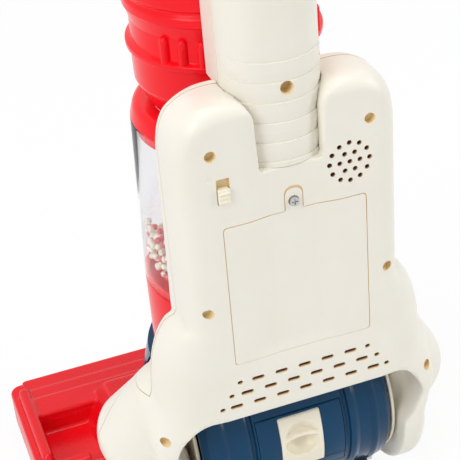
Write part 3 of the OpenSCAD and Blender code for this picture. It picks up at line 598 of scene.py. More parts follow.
def surface_net(field, low, high, step):
    """Closed mesh of quads where field(x, y, z) is zero; the field is negative inside."""
    low = np.asarray(low, float)
    counts = np.ceil((np.asarray(high, float) - low) / step).astype(int) + 1
    axes = [low[i] + step * np.arange(counts[i]) for i in range(3)]
    value = field(*np.meshgrid(*axes, indexing="ij", sparse=True))
    inside = value < 0
    corners = np.array([(i, j, k) for i in (0, 1) for j in (0, 1) for k in (0, 1)])
    size = counts - 1
    total = np.zeros(size, np.int8)
    for i, j, k in corners:
        total += inside[i:i + size[0], j:j + size[1], k:k + size[2]]
    cell = np.argwhere((total > 0) & (total < 8))
    number = np.full(size, -1)
    number[tuple(cell.T)] = np.arange(len(cell))
    held = np.stack([value[tuple((cell + corner).T)] for corner in corners], 1)
    place, hits = np.zeros((len(cell), 3)), np.zeros(len(cell))
    for first, corner in enumerate(corners):
        for axis in range(3):
            if corner[axis]:
                continue
            second = first + (4 >> axis)
            cross = (held[:, first] < 0) != (held[:, second] < 0)
            share = held[cross, first] / (held[cross, first] - held[cross, second])
            spot = np.tile(corner.astype(float), (cross.sum(), 1))
            spot[:, axis] += share
            place[cross] += spot
            hits[cross] += 1
    points = low + step * (cell + place / hits[:, None])
    faces = []
    for axis in range(3):
        u, w = (axis + 1) % 3, (axis + 2) % 3
        first = np.take(inside, range(counts[axis] - 1), axis)
        second = np.take(inside, range(1, counts[axis]), axis)
        edge = np.argwhere(first != second)
        edge = edge[(edge[:, u] > 0) & (edge[:, w] > 0) & (edge[:, u] < size[u]) & (edge[:, w] < size[w])]
        step_u, step_w = np.eye(3, dtype=int)[u], np.eye(3, dtype=int)[w]
        quad = np.stack([number[tuple((edge - a * step_u - b * step_w).T)]
                         for a, b in ((1, 1), (0, 1), (0, 0), (1, 0))], 1)
        outward = first[tuple(edge.T)]
        quad[~outward] = quad[~outward][:, ::-1]
        faces.append(quad)
    for _ in range(POLISH):
        points = settle(field, points, step)
    return points, np.concatenate(faces)


def settle(field, points, step):
    """Moves points onto the field's zero surface."""
    reach = 0.02
    value = field(*points.T)
    slope = np.zeros_like(points)
    for axis in range(3):
        shift = np.zeros(3)
        shift[axis] = reach
        slope[:, axis] = (field(*(points + shift).T) - field(*(points - shift).T)) / (2 * reach)
    move = value / np.maximum((slope ** 2).sum(1), 0.2)
    move = np.clip(move, -0.5 * step, 0.5 * step)
    return points - move[:, None] * slope


def soft_min(a, b, radius):
    """Two fields joined, with the corner between them filled."""
    gap = np.maximum(radius - np.abs(a - b), 0) / radius
    return np.minimum(a, b) - gap * gap * radius / 4


def soft_max(a, b, radius):
    """What two fields share, with the edge between them softened."""
    return -soft_min(-a, -b, radius)


def round_edge(a, b, radius):
    """Where two fields meet, with the edge between them rounded."""
    return (np.minimum(np.maximum(a, b) + radius, 0)
            + np.hypot(np.maximum(a + radius, 0), np.maximum(b + radius, 0)) - radius)


def round_rect(u, w, half_u, half_w, radius):
    """A rectangle with rounded corners about the origin."""
    a, b = np.abs(u) - half_u + radius, np.abs(w) - half_w + radius
    return np.minimum(np.maximum(a, b), 0) + np.hypot(np.maximum(a, 0), np.maximum(b, 0)) - radius


def ramp(value, start, end):
    """0 at start, 1 at end, eased at both."""
    t = np.clip((value - start) / (end - start), 0, 1)
    return t * t * (3 - 2 * t)


# Casing

# Box: half depth of the plan outlines, flanks, shoulders and lower end
PLAN_HALF, REAR_CORNER, BODY_LOW = 60.0, 20.0, 104.0
FLANK_TOP_Y, FLANK_LOW_Y, FLANK_TOP_Z, FLANK_TALL = 37.0, 46.5, 300.0, 115.0
SHOULDER_RISE, SHOULDER_EDGE, ARCH_HALF, ARCH_R = 4.0, 10.0, 72.0, 36.0
# Hips: the wider part over the drum
HIP_TOP, HIP_LOW, HIP_OUT, HIP_BACK = 180.0, 127.0, 20.0, 4.0
HIP_END, HIP_CORNER, HIP_SPREAD, HIP_SPREAD_Z = 88.0, 14.0, 2.5, (128.0, 98.0)
# Cheeks: the plates beside the drum, their swell behind and above, and the arms to the hubs
CHEEK_R, CHEEK_GROW, CHEEK_OUT, CHEEK_IN, CHEEK_EDGE = 58.0, 4.0, 87.0, 72.0, 9.0
CHEEK_TAPER, CHEEK_LAP, SWELL_OUT, SWELL_Y, SWELL_Z = 0.6, 3.5, 8.0, (72.0, 44.0), 98.0
HUB_R, HUB_Z, HUB_PROUD = 33.0, 70.0, 2.0
ARM_TOP, ARM_R = (76.0, 46.0, 112.0), 22.0
# Opening behind the drum; the two steepnesses turn its fields into distances
OPENING_Z, MOUTH_HALF, MOUTH_FLAT, MOUTH_RISE, MOUTH_LOW = 112.3, 86.0, 56.0, 46.0, 62.0
MOUTH_DEPTH, MOUTH_LEAN, ARCH_STEEP, LEAN_STEEP = 34.0, 0.55, 1.3, 1.14
DRUM_CLEAR, WALL_STEP, WALL_STEP_Z = 1.6, 3.2, 76.0
SWEEP_HALF, SWEEP_R, SWEEP_BEHIND = 30.5, 77.0, 8.0
BIN_CLEAR, BIN_ROOM_LOW = 0.4, 40.0
# Back: valley, slot for the stem, seams, cover and screws
VALLEY_IN, VALLEY_OUT, VALLEY_Z = 14.0, 28.5, (146.0, 164.0)
SLOT_HALF, SLOT_LOW, SLOT_EDGE = 19.3, 279.0, 3.2
SEAM_Y, CHEEK_SEAM_Z = 32.0, 124.0
COVER_HALF, COVER_LOW, COVER_TOP, COVER_CORNER = 43.0, 155.0, 250.0, 2.5
TAB_HALF, TAB_Z, TAB_RISE, TAB_CORNER, LEDGE_DEPTH = 5.2, 256.0, 3.0, 0.8, 0.5
UPPER_SCREWS = ((46.8, 297.0), (56.5, 195.0))
LOW_SCREW = (88.5, 100.7)
BOSS_R, BOSS_DEPTH, RECESS_DEPTH = 5.2, 9.0, 4.6
STEM_R, STEM_Y, STEM_SCREW_Z = 29.0, 31.0, 326.4
# Planes outside the casing on each side, where the cutters of its two halves end
OVER, UNDER, AHEAD, BEHIND, BESIDE = 330, -5, 140, -10, 130


def casing_body(x, y, z):
    """The upright box with rounded rear corners and shoulders and flanks that deepen downwards."""
    down = np.clip((FLANK_TOP_Z - z) / FLANK_TALL, 0, 1)
    front = FLANK_TOP_Y + (FLANK_LOW_Y - FLANK_TOP_Y) * down
    plan = round_rect(x, y - PLAN_HALF, BODY_HALF, PLAN_HALF, REAR_CORNER)
    arch = round_edge(np.abs(x) - ARCH_HALF, z - SHOULDER_Z - SHOULDER_RISE, ARCH_R)
    top = round_edge(plan, arch, SHOULDER_EDGE)
    return np.maximum(soft_max(top, y - front, 3.0), BODY_LOW - z)


def casing_hips(x, y, z):
    """The wider part over the drum, which bulges out of the flanks and rounds off towards the opening."""
    rise = np.clip((z - HIP_LOW) / (HIP_TOP - HIP_LOW), 0, 0.999)
    bulge = np.sqrt(1 - rise * rise)
    half = BODY_HALF + HIP_OUT * bulge + HIP_SPREAD * ramp(z, *HIP_SPREAD_Z)
    back = HIP_BACK * (1 - bulge)
    plan = round_rect(x, y - back - PLAN_HALF, half, PLAN_HALF, REAR_CORNER + HIP_CORNER * bulge)
    plan = soft_max(plan, y - BODY_D, 6.0)
    return soft_max(soft_max(plan / (1 + 0.5 * rise), z - HIP_TOP, 3.0), HIP_END - z, 16.0)


def casing_cheek(side, y, z):
    """A cheek: a round plate that narrows in front and below, and an arm that swells into a hub."""
    upper = ramp(z, MOUTH_LOW, SWELL_Z) * ramp(y, *SWELL_Y)
    lean = side + CHEEK_TAPER * np.maximum(y - AXIS_Y, 0)
    rim = np.hypot(y - AXIS_Y, z - AXIS_Z) - CHEEK_R - CHEEK_GROW * upper
    plate = round_edge(rim, lean - CHEEK_OUT - SWELL_OUT * upper, CHEEK_EDGE)
    start, end = np.array(ARM_TOP), np.array((HUB_X + HUB_PROUD - HUB_R, AXIS_Y, HUB_Z))
    way = end - start
    along = (side - start[0]) * way[0] + (y - start[1]) * way[1] + (z - start[2]) * way[2]
    along = np.clip(along / (way @ way), 0, 1)
    away = [value - start[k] - way[k] * along for k, value in enumerate((side, y, z))]
    arm = np.sqrt(away[0] ** 2 + away[1] ** 2 + away[2] ** 2) - ARM_R - (HUB_R - ARM_R) * along
    return np.maximum(plate, CHEEK_IN - CHEEK_LAP - side), np.maximum(arm, CHEEK_IN - side)


def casing_mouth(side, z):
    """The opening behind the drum, seen from the back: its upper corners are quarter ellipses."""
    stretch = MOUTH_RISE / (MOUTH_HALF - MOUTH_FLAT)
    across = np.maximum(side - MOUTH_FLAT, 0) * stretch
    arch = (np.hypot(across, np.maximum(z - OPENING_Z + MOUTH_RISE, 0)) - MOUTH_RISE) / ARCH_STEEP
    lean = (side - CHEEK_IN - MOUTH_LEAN * np.maximum(z - MOUTH_LOW, 0)) / LEAN_STEEP
    return soft_max(arch, lean, 4.0)


def casing_form(x, y, z):
    """The casing's outer skin without its holes."""
    side = np.abs(x)
    radius = np.hypot(y - AXIS_Y, z - AXIS_Z)
    form = soft_min(casing_body(x, y, z), casing_hips(x, y, z), 5.0)
    plate, arm = casing_cheek(side, y, z)
    form = soft_min(soft_min(form, plate, 12.0), arm, 6.0)
    wall = CHEEK_IN - WALL_STEP * ramp(z, WALL_STEP_Z, MOUTH_LOW)
    tunnel = round_rect(x, z, wall, OPENING_Z, 14.0)
    mouth = soft_max(soft_max(casing_mouth(side, z), y - MOUTH_DEPTH, 10.0), MOUTH_LOW - z, 8.0)
    drum_room = np.maximum(radius - DRUM_R - DRUM_CLEAR, side - wall)
    sweep = np.maximum(np.maximum(radius - SWEEP_R, side - SWEEP_HALF),
                       np.maximum(y - AXIS_Y + SWEEP_BEHIND, AXIS_Z - z))
    drum_room = np.minimum(drum_room, sweep)
    form = soft_max(form, -np.minimum(soft_min(tunnel, mouth, 5.0), drum_room), 3.0)
    bin_room = np.maximum(np.hypot(x, y - BIN_Y) - BIN_R - BIN_CLEAR, BIN_ROOM_LOW - z)
    form = soft_max(form, -bin_room, 1.2)
    depth = bpy.context.scene.vacuum_sizes.valley / MM
    slope = np.clip((VALLEY_OUT - side) / (VALLEY_OUT - VALLEY_IN), 0, 1)
    valley = depth * slope * ramp(z, *VALLEY_Z)
    form = soft_max(form, valley - y, 0.6)
    edge = 0.3 + SLOT_EDGE * ramp(z, SLOT_LOW + 2.0, SLOT_LOW + 26.0)
    form = round_edge(form, -shoulder_slot(side, y, z), edge)
    return np.maximum(form, -stem_room(side, y, z))


def shoulder_slot(side, y, z):
    """The gap between the two shoulders, with round corners below and above."""
    tower = round_edge(SLOT_HALF - side, z - SHOULDER_Z - SHOULDER_RISE - 0.5, 17.0)
    return np.maximum(round_edge(-tower, SLOT_LOW - z, 2.0), y - STEM_Y)


def stem_room(side, y, z):
    """The round room for the stem behind the shoulders."""
    room = np.hypot(side, np.minimum(y - STEM_Y, 0)) - STEM_R - 0.1
    return np.maximum(room, SLOT_LOW - z)


def cover_outline(grow, tab_up=0.0):
    """The battery cover's outline with its tab, grown all round; its lower edge grows less."""
    half, low, top = COVER_HALF + grow, COVER_LOW - 0.35 * grow, COVER_TOP + grow
    tab, peak = TAB_HALF + grow, TAB_Z + TAB_RISE + TAB_HALF + grow + tab_up
    right = [(half, low, COVER_CORNER), (half, top, COVER_CORNER), (tab, top, TAB_CORNER), (tab, peak, tab)]
    left = [(-a, b, corner) for a, b, corner in right[::-1]]
    return rounded_outline(left[-1:] + right + left[:-1], steps=10)


def hole_cutter(name, x, z, surface, depth, radius, lip=0.7):
    """A round hole that opens towards -y with a soft lip."""
    outside = surface - 9
    profile = rounded_outline(
        [(0, depth, 0), (radius, depth, 0.4), (radius, surface + lip, 0.5),
         (radius + lip, surface - 0.1, 0), (radius + lip, outside, 0), (0, outside, 0)],
        closed=False, steps=4)
    # The hole's walls take the recess finish: tan painted shade in the hole
    return turned_along_y(name, profile, (x, z), "recess_painted_shade")


def turned_along_y(name, profile, centre, finish):
    """A small piece turned about an axis that runs to the rear, from (radius, y)."""
    return turned(name, profile, finish, "y", centre, sides=40, closed=False)


def instances(name, points, shape, finish, turns=None):
    """Copies of a small shape on points, made by Geometry Nodes and baked to one mesh."""
    holder = bpy.data.meshes.new(name)
    holder.from_pydata(to_frame(points).tolist(), [], [])
    turn = holder.attributes.new("turn", "FLOAT_VECTOR", "POINT")
    turns = np.zeros((len(points), 3)) if turns is None else np.asarray(turns)
    turn.data.foreach_set("vector", turns.ravel())
    made = placed(name, holder)
    tree = bpy.data.node_groups.new(name + "_layout", "GeometryNodeTree")
    tree.interface.new_socket("Points", in_out="INPUT", socket_type="NodeSocketGeometry")
    shape_socket = tree.interface.new_socket("Shape", in_out="INPUT", socket_type="NodeSocketObject")
    finish_socket = tree.interface.new_socket("Finish", in_out="INPUT", socket_type="NodeSocketMaterial")
    tree.interface.new_socket("Mesh", in_out="OUTPUT", socket_type="NodeSocketGeometry")
    given, result = tree.nodes.new("NodeGroupInput"), tree.nodes.new("NodeGroupOutput")
    source = wire(tree, "GeometryNodeObjectInfo", Object=given.outputs["Shape"])
    angle = wire(tree, "GeometryNodeInputNamedAttribute", {"data_type": "FLOAT_VECTOR"}, Name="turn")
    put = wire(tree, "GeometryNodeInstanceOnPoints", Points=given.outputs["Points"],
               Instance=source.outputs["Geometry"], Rotation=angle.outputs["Attribute"])
    real = wire(tree, "GeometryNodeRealizeInstances", Geometry=put.outputs[0])
    paint = wire(tree, "GeometryNodeSetMaterial", Geometry=real.outputs[0],
                 Material=given.outputs["Finish"])
    tree.links.new(paint.outputs[0], result.inputs[0])
    layout = made.modifiers.new("layout", "NODES")
    layout.node_group = tree
    layout[shape_socket.identifier] = shape
    layout[finish_socket.identifier] = FINISHES[finish]
    bake(made)
    return made


def small_shape(name, points, faces):
    """A shape to be copied, in metres about its own origin."""
    mesh = bpy.data.meshes.new(name)
    mesh.from_pydata((np.asarray(points) * MM).tolist(), [], [list(map(int, f)) for f in faces])
    made = placed(name, mesh)
    tidy_mesh(made)
    return made


def slot_shape(name, width, height, depth, lip=0.35):
    """A vent's cutter: a long slot along x that opens towards -y."""
    half, r, arc = width / 2 - height / 2, height / 2, 8
    rows = [(depth, 0.0), (lip, 0.0), (-0.1, lip), (-3.0, lip)]
    angle = np.linspace(-math.pi / 2, math.pi / 2, arc)
    points = []
    for along, grow in rows:
        out = r + grow
        right = np.stack([half + out * np.cos(angle), np.full(arc, along), out * np.sin(angle)], 1)
        points.append(np.concatenate([right, right * (-1, 1, -1)]))
    count = 2 * arc
    last = len(rows) * count
    faces = [tuple(range(count)), tuple(range(last - 1, last - count - 1, -1))]
    return small_shape(name, np.concatenate(points), faces + grid_faces(len(rows), count))


# Height of each row of vents, how many it has, and where its two short ones stand
VENT_ROWS = ((141.2, 5, 41.5), (132.6, 6, 47.5), (124.0, 7, 54.0))
VENT_PITCH, VENT_LONG, VENT_SHORT, VENT_TALL, VENT_DEPTH = 15.0, 7.8, 3.2, 2.4, 9.0
# Radius of each ring of speaker holes and how many it has
SPEAKER_RINGS = ((0.0, 1), (6.1, 6), (12.0, 12))
SPEAKER = (34.0, 273.0)
DIMPLES = ((-48.6, 283.0), (50.0, 284.5))
DIMPLE_PROFILE = ((0, 0.5), (1.4, 0.38), (2.2, 0.1), (2.6, -0.3), (0, -0.3))
SWITCH_X, SWITCH_LOW, SWITCH_HIGH, WINDOW_HALF = -41.0, 266.0, 282.0, 3.9
# Where each upper screw recess starts and ends
UPPER_RECESSES = ((0.0, 4.2), (1.2, 6.0))


def skin_y(x, z):
    """Where a line along +y at (x, z) first meets the casing's skin."""
    line = np.linspace(-2.0, 60.0, 1241)
    inside = casing_form(np.full_like(line, x), line, np.full_like(line, z)) < 0
    return float(line[int(np.argmax(inside))])


def casing_hollow(x, y, z):
    """The room inside the shells, which leaves a solid boss behind each screw recess."""
    room = casing_form(x, y, z) + WALL
    for boss_x, boss_z in (*UPPER_SCREWS, LOW_SCREW):
        boss = BOSS_R - np.hypot(np.abs(x) - boss_x, z - boss_z)
        room = np.maximum(room, np.minimum(boss, skin_y(boss_x, boss_z) + BOSS_DEPTH - y))
    return room


def back_cutters():
    """Everything that is cut through the casing's back."""
    cutters = []
    for (x, z), (surface, depth) in zip(UPPER_SCREWS, UPPER_RECESSES):
        for s in (-1, 1):
            cutters.append(hole_cutter("screw_recess", s * x, z, surface, depth, 3.0))
    low_y = skin_y(*LOW_SCREW)
    x, z = LOW_SCREW
    for s in (-1, 1):
        cutters.append(hole_cutter("screw_recess", s * x, z, low_y, low_y + RECESS_DEPTH, 2.8, lip=0.2))
    long_slot = slot_shape("slot", VENT_LONG, VENT_TALL, VENT_DEPTH)
    short_slot = slot_shape("short_slot", VENT_SHORT, VENT_TALL, VENT_DEPTH)
    long_points = [((k - (count - 1) / 2) * VENT_PITCH, 0.0, z)
                   for z, count, _ in VENT_ROWS for k in range(count)]
    short_points = [(s * x, 0.0, z) for z, _, x in VENT_ROWS for s in (-1, 1)]
    # The vents and speaker holes take the vent finish: painted shade that darkens into each hole
    cutters.append(instances("vents", long_points, long_slot, "painted_vent_shade"))
    cutters.append(instances("short_vents", short_points, short_slot, "painted_vent_shade"))
    hole = slot_shape("speaker_hole", 3.01, 3.0, 4.5, lip=0.25)
    holes = []
    for r, count in SPEAKER_RINGS:
        for k in range(count):
            turn = 2 * math.pi * k / count
            holes.append((SPEAKER[0] + r * math.cos(turn), 0.0, SPEAKER[1] + r * math.sin(turn)))
    cutters.append(instances("speaker_holes", holes, hole, "painted_vent_shade"))
    cutters += [turned_along_y("dimple", DIMPLE_PROFILE, place, "cream") for place in DIMPLES]
    discard(long_slot, short_slot, hole)
    # The window's walls take the recess finish: tan painted shade
    left, right = SWITCH_X - WINDOW_HALF, SWITCH_X + WINDOW_HALF
    window = rounded_outline([(left, SWITCH_LOW, 1.0), (right, SWITCH_LOW, 1.0),
                              (right, SWITCH_HIGH, 1.0), (left, SWITCH_HIGH, 1.0)])
    cutters.append(prism("switch_window", window, "y", -3.0, 7.0, "recess_painted_shade"))
    return joined("back_cutters", cutters)


def casing_pieces(sizes):
    """The rear and front shells and the battery cover, all from one skin."""
    step = sizes.mesh_step / MM
    low, high = (-HUB_X - 4, -4.0, 0.0), (HUB_X + 4, AXIS_Y + CHEEK_R + 4, SHOULDER_Z + 6)
    points, faces = surface_net(casing_form, low, high, step)
    skin = mesh_object("casing_skin", points, faces, "cream")
    # The hollow carries the recess finish, so the shells' inner walls show tan painted shade
    points, faces = surface_net(casing_hollow, low, high, step * 1.7)
    hollow = mesh_object("casing_hollow", points, faces, "recess_painted_shade")
    plate = box("back_plate", (-30, 2.0, COVER_TOP + 1.0), (30, 5.0, SLOT_LOW - 1), "cream")
    carve(skin, hollow)
    carve(skin, plate, "UNION")
    # The part cutters carry the recess finish, so the faces at the seams show tan painted shade
    seam = sizes.seam / MM
    gap = seam / 2
    split = [(SEAM_Y, OVER), (SEAM_Y, CHEEK_SEAM_Z), (AXIS_Y, CHEEK_SEAM_Z), (AXIS_Y, UNDER)]
    front_part = [(y + gap, z + gap) for y, z in split] + [(AHEAD, UNDER), (AHEAD, OVER)]
    rear_part = [(y - gap, z - gap) for y, z in split] + [(BEHIND, UNDER), (BEHIND, OVER)]
    front = copy_of(skin, "front_casing_shell")
    carve(front, prism("front_part", front_part, "x", -BESIDE, BESIDE, "recess_painted_shade"), "INTERSECT")
    carve(skin, prism("rear_part", rear_part, "x", -BESIDE, BESIDE, "recess_painted_shade"), "INTERSECT")
    cover = copy_of(skin, "cover_plate")
    carve(cover, prism("cover_part", cover_outline(0.0), "y", -3, 4.3, "recess_painted_shade"), "INTERSECT")
    # The ledge behind the cover's seam is in the recess tan: painted shade seen through the gap
    ledge = copy_of(skin, "cover_ledge")
    ledge.data.transform(Matrix.Translation((0, LEDGE_DEPTH * MM, 0)))
    ledge.data.materials.clear()
    ledge.data.materials.append(FINISHES["recess_painted_shade"])
    carve(ledge, prism("ledge_part", cover_outline(0.96 * seam, 1.15), "y", -3, 8, "recess_painted_shade"), "INTERSECT")
    carve(ledge, prism("ledge_hole", cover_outline(-0.8), "y", -4, 9, "recess_painted_shade"))
    carve(skin, prism("cover_hole", cover_outline(seam, 1.2), "y", -3, 4.3, "recess_painted_shade"))
    carve(skin, back_cutters())
    carve(cover, hole_cutter("cover_screw_hole", 0.0, TAB_Z, 2.1, 4.6, 2.95, lip=0.3))
    cover = joined("battery_cover_shell", [cover, ledge])
    skin.name = "rear_casing_shell"
    return skin, front, cover


class VACUUM_OT_casing(bpy.types.Operator):
    """Moulds the casing's rear and front shells and the battery cover"""

    bl_idname = "vacuum.casing"
    bl_label = "Casing shells"

    def execute(self, context):
        rear, front, cover = casing_pieces(context.scene.vacuum_sizes)
        dress(rear, "upper", "cream", "rear_casing")
        dress(front, "upper", "cream", "front_casing")
        dress(cover, "upper", "cream", "battery_cover")
        return {"FINISHED"}


# Stem

RIB_PITCH, RIB_BAND, RIB_LOW, RIB_COUNT = 12.0, 6.2, 282.0, 6
RIB_LINES = tuple(RIB_LOW + RIB_PITCH * k for k in range(RIB_COUNT))
# Rows of points that each rib needs, from its lip
RIB_ROWS = (0.02, -0.25, -0.6, -3.0, -5.6, -6.2, -6.8, -9.0)
STEM_SIDES, STEM_SHARP = 73, 24.0


def rib_height(z):
    """How far the stem's skin stands out at a height: a lip that faces up, a band, then a slope inwards."""
    height = np.zeros_like(z)
    for lip in RIB_LINES:
        below = lip - z
        band = np.clip(1 - (below - RIB_BAND) / (RIB_PITCH - RIB_BAND), 0, 1)
        height = np.where((below >= 0) & (below < RIB_PITCH), band, height)
    return height


def stem_half(name, sizes):
    """The ribbed rear half of the stem: an open half pipe with a wall."""
    rib, last = sizes.rib / MM, RIB_LINES[-1]
    fine = sorted({round(lip + d, 2) for lip in RIB_LINES for d in RIB_ROWS})
    heights = np.array([STEM_LOW] + [h for h in fine if h > STEM_LOW + 0.3]
                       + list(np.arange(last + 2, STEM_TOP - 1, 6.0)) + [STEM_TOP - 0.8, STEM_TOP])
    angle = np.linspace(-math.pi / 2, math.pi / 2, STEM_SIDES)
    across, behind = np.sin(angle), np.cos(angle)
    fade = ramp(behind, 0.12, 0.6)
    rows = []
    for z in heights:
        out = STEM_R - 0.35 + rib * (rib_height(np.array(z)) - 0.25) * fade * (z < last + 0.1)
        out = out - (0.8 if z == STEM_TOP else 0.0)
        rows.append(np.stack([out * across, STEM_Y - out * behind, np.full(STEM_SIDES, z)], 1))
    inner = STEM_R - WALL
    for z in heights[::-1]:
        rows.append(np.stack([inner * across, STEM_Y - inner * behind, np.full(STEM_SIDES, z)], 1))
    count = len(rows)
    faces = grid_faces(count, STEM_SIDES, closed=True, around=False)
    for edge in (0, STEM_SIDES - 1):
        side = [r * STEM_SIDES + edge for r in range(count)]
        faces += [(side[r], side[r + 1], side[count - 2 - r], side[count - 1 - r])
                  for r in range(count // 2 - 1)]
    made = mesh_object(name, np.concatenate(rows), faces, "cream", STEM_SHARP)
    tidy_mesh(made, STEM_SHARP)
    return made


class VACUUM_OT_stem(bpy.types.Operator):
    """Moulds the stem's ribbed rear half"""

    bl_idname = "vacuum.stem"
    bl_label = "Stem"

    def execute(self, context):
        rear = stem_half("stem_rear_shell", context.scene.vacuum_sizes)
        place = (0, STEM_SCREW_Z)
        boss = rod("screw_boss", 5.2, 4.4, 30.0, "cream", axis="y", centre=place, sides=40)
        carve(rear, boss, "UNION", sharp=STEM_SHARP)
        hole = hole_cutter("stem_screw_hole", 0.0, STEM_SCREW_Z, 2.2, 8.5, 3.5, lip=0.5)
        carve(rear, hole, sharp=STEM_SHARP)
        dress(rear, "upper", "cream", "stem_rear")
        return {"FINISHED"}


# Handle

TUBE_R, TUBE_Y, TUBE_LOW, TUBE_TOP, GRIP_R = 17.0, 22.0, 428.2, 566.0, 12.0
LOOP_Y, LOOP_Z, LOOP_HALF_Y, LOOP_HALF_Z, LOOP_R = -3.0, 615.0, 33.0, 63.0, 30.0
GROOVE_Z, GROOVE_PITCH, GROOVE_DEPTH = 590.0, 7.0, 0.35
HANDLE_SCREWS = ((TUBE_Y, 507.0), (LOOP_Y - LOOP_HALF_Y, LOOP_Z))


def handle_form(x, y, z):
    """The pushing tube and the loop above it."""
    ring = np.hypot(x, round_rect(y - LOOP_Y, z - LOOP_Z, LOOP_HALF_Y, LOOP_HALF_Z, LOOP_R)) - GRIP_R
    wave = np.cos((z - GROOVE_Z) * 2 * math.pi / GROOVE_PITCH)
    grooves = GROOVE_DEPTH * np.clip(wave * 2 - 1, 0, 1)
    grooves = grooves * ramp(np.abs(z - LOOP_Z), 44.0, 38.0) * ramp(y, -20.0, -30.0)
    tube = round_edge(np.hypot(x, y - TUBE_Y) - TUBE_R, z - TUBE_TOP, 12.0)
    return np.maximum(soft_min(ring + grooves, tube, 16.0), TUBE_LOW - z)


class VACUUM_OT_handle(bpy.types.Operator):
    """Moulds the two halves of the pushing handle"""

    bl_idname = "vacuum.handle"
    bl_label = "Handle"

    def execute(self, context):
        low, high = (-20, LOOP_Y - LOOP_HALF_Y - 16, TUBE_LOW - 3), (20, TUBE_Y + 23, HANDLE_TOP + 3)
        points, faces = surface_net(handle_form, low, high, 1.6)
        whole = mesh_object("handle_right_shell", points, faces, "cream")
        gap = context.scene.vacuum_sizes.seam / MM / 2
        # The screw holes and the cuts between the halves carry the recess finish: tan painted shade on
        # their walls and seam faces
        for place in HANDLE_SCREWS:
            carve(whole, rod("handle_screw_hole", 3.4, -30, -6.5, "recess_painted_shade", centre=place, sides=32))
        left = copy_of(whole, "handle_left_shell")
        carve(left, box("left_part", (-40, -80, 400), (-gap, 80, 720), "recess_painted_shade"), "INTERSECT")
        carve(whole, box("right_part", (gap, -80, 400), (40, 80, 720), "recess_painted_shade"), "INTERSECT")
        dress(left, "upper", "cream", "handle_left")
        dress(whole, "upper", "cream", "handle_right")
        return {"FINISHED"}


# Cyclone and bin

LID_LOW, LID_TOP, LID_R = 270.0, 281.0, 62.0
RING_Z, RING_R = 319.0, 59.0
PILL_STEP, PILL_COUNT, PILL_OUT = 12.3, 5, 55.6
PILL_TALL, PILL_STRAIGHT, PILL_R = 16.5, 12.5, 3.1


def pill_shape():
    """A rounded peg that stands against the cyclone's wall, facing -y."""
    rows, sides, points = 14, 16, []
    for row in range(rows + 1):
        t = row / rows
        z = PILL_TALL * t
        cap = max(0.0, (z - PILL_STRAIGHT) / (PILL_TALL - PILL_STRAIGHT))
        wide = PILL_R * math.sqrt(max(0.0, 1 - cap * cap)) * (1 - 0.06 * t)
        for s in range(sides):
            a = 2 * math.pi * s / sides
            points.append((wide * math.cos(a), -wide * 1.05 * math.sin(a), z))
    return small_shape("pill", points, [tuple(range(sides))] + grid_faces(rows + 1, sides))


class VACUUM_OT_cyclone(bpy.types.Operator):
    """Turns the cyclone's lid, body and cap and sets the pegs round it"""

    bl_idname = "vacuum.cyclone"
    bl_label = "Cyclone"

    def execute(self, context):
        lid = turned("cyclone_lid_shell", rounded_outline(
            [(47.4, LID_TOP - 0.2, 0.5), (LID_R - 3, LID_TOP - 0.2, 6), (LID_R, LID_LOW, 0.6),
             (59.6, LID_LOW, 0.3), (59.6, 262.2, 0.8), (57.4, 262.2, 0.8), (57.4, 266, 1),
             (47.4, 276, 3)]), "red")
        dress(lid, "upper", "red", "cyclone_lid")
        wall = rounded_outline(
            [(47.6, LID_TOP, 0.4), (49.5, 284, 2), (56.2, 298, 4), (56.4, RING_Z - 0.6, 0.5),
             (RING_R, RING_Z, 0.9), (RING_R, RING_Z + 3.4, 1.0), (55.6, RING_Z + 4.6, 0.8), (55.4, 337, 3),
             (57.6, 345.5, 1.2), (58.6, 346.2, 0.7), (58.4, 351, 2.2), (56.6, 353, 0.8), (56.6, 354.4, 0.6),
             (58.8, 356.4, 2), (59, 371, 0.6), (56, 371, 0.4), (56, 356, 2), (53, 340, 3), (53, 300, 3),
             (46, 285, 2), (45, LID_TOP, 0.4)], steps=5)
        body = turned("cyclone_wall", wall, "red", sides=176, sharp=40.0)
        angles = [math.radians(s * (k + 0.5) * PILL_STEP) for s in (-1, 1) for k in range(PILL_COUNT)]
        places = [(PILL_OUT * math.sin(a), BIN_Y - PILL_OUT * math.cos(a), RING_Z + 3.0) for a in angles]
        shape = pill_shape()
        pills = instances("cyclone_pegs", places, shape, "red", [(0, 0, a) for a in angles])
        discard(shape)
        body = joined("cyclone_body_shell", [body, pills])
        smooth(body, 40.0)
        dress(body, "upper", "red", "cyclone_body")
        cap = turned("cyclone_cap_shell", rounded_outline(
            [(0.01, 400.8, 0), (58.9, 400.8, 26), (58.9, 371.2, 0.4), (56.4, 371.2, 0.4), (56.4, 398.3, 24),
             (0.01, 398.3, 0)], closed=False, steps=14), "red")
        dress(cap, "upper", "red", "cyclone_cap")
        return {"FINISHED"}


# Beads: their distance from the wall, the bin's floor, the heap and the room left for the fan
BEAD_MARGIN, BEAD_FLOOR, HEAP_FLOOR, HEAP_RISE = 3.2, 160.5, 161, 44.0
HEAP_WAY = (0.92, 0.39)
FAN_ROOM_R, FAN_ROOM_TOP = 40, 170
BEAD_TRIES, PINK_SHARE = 60000, 0.27


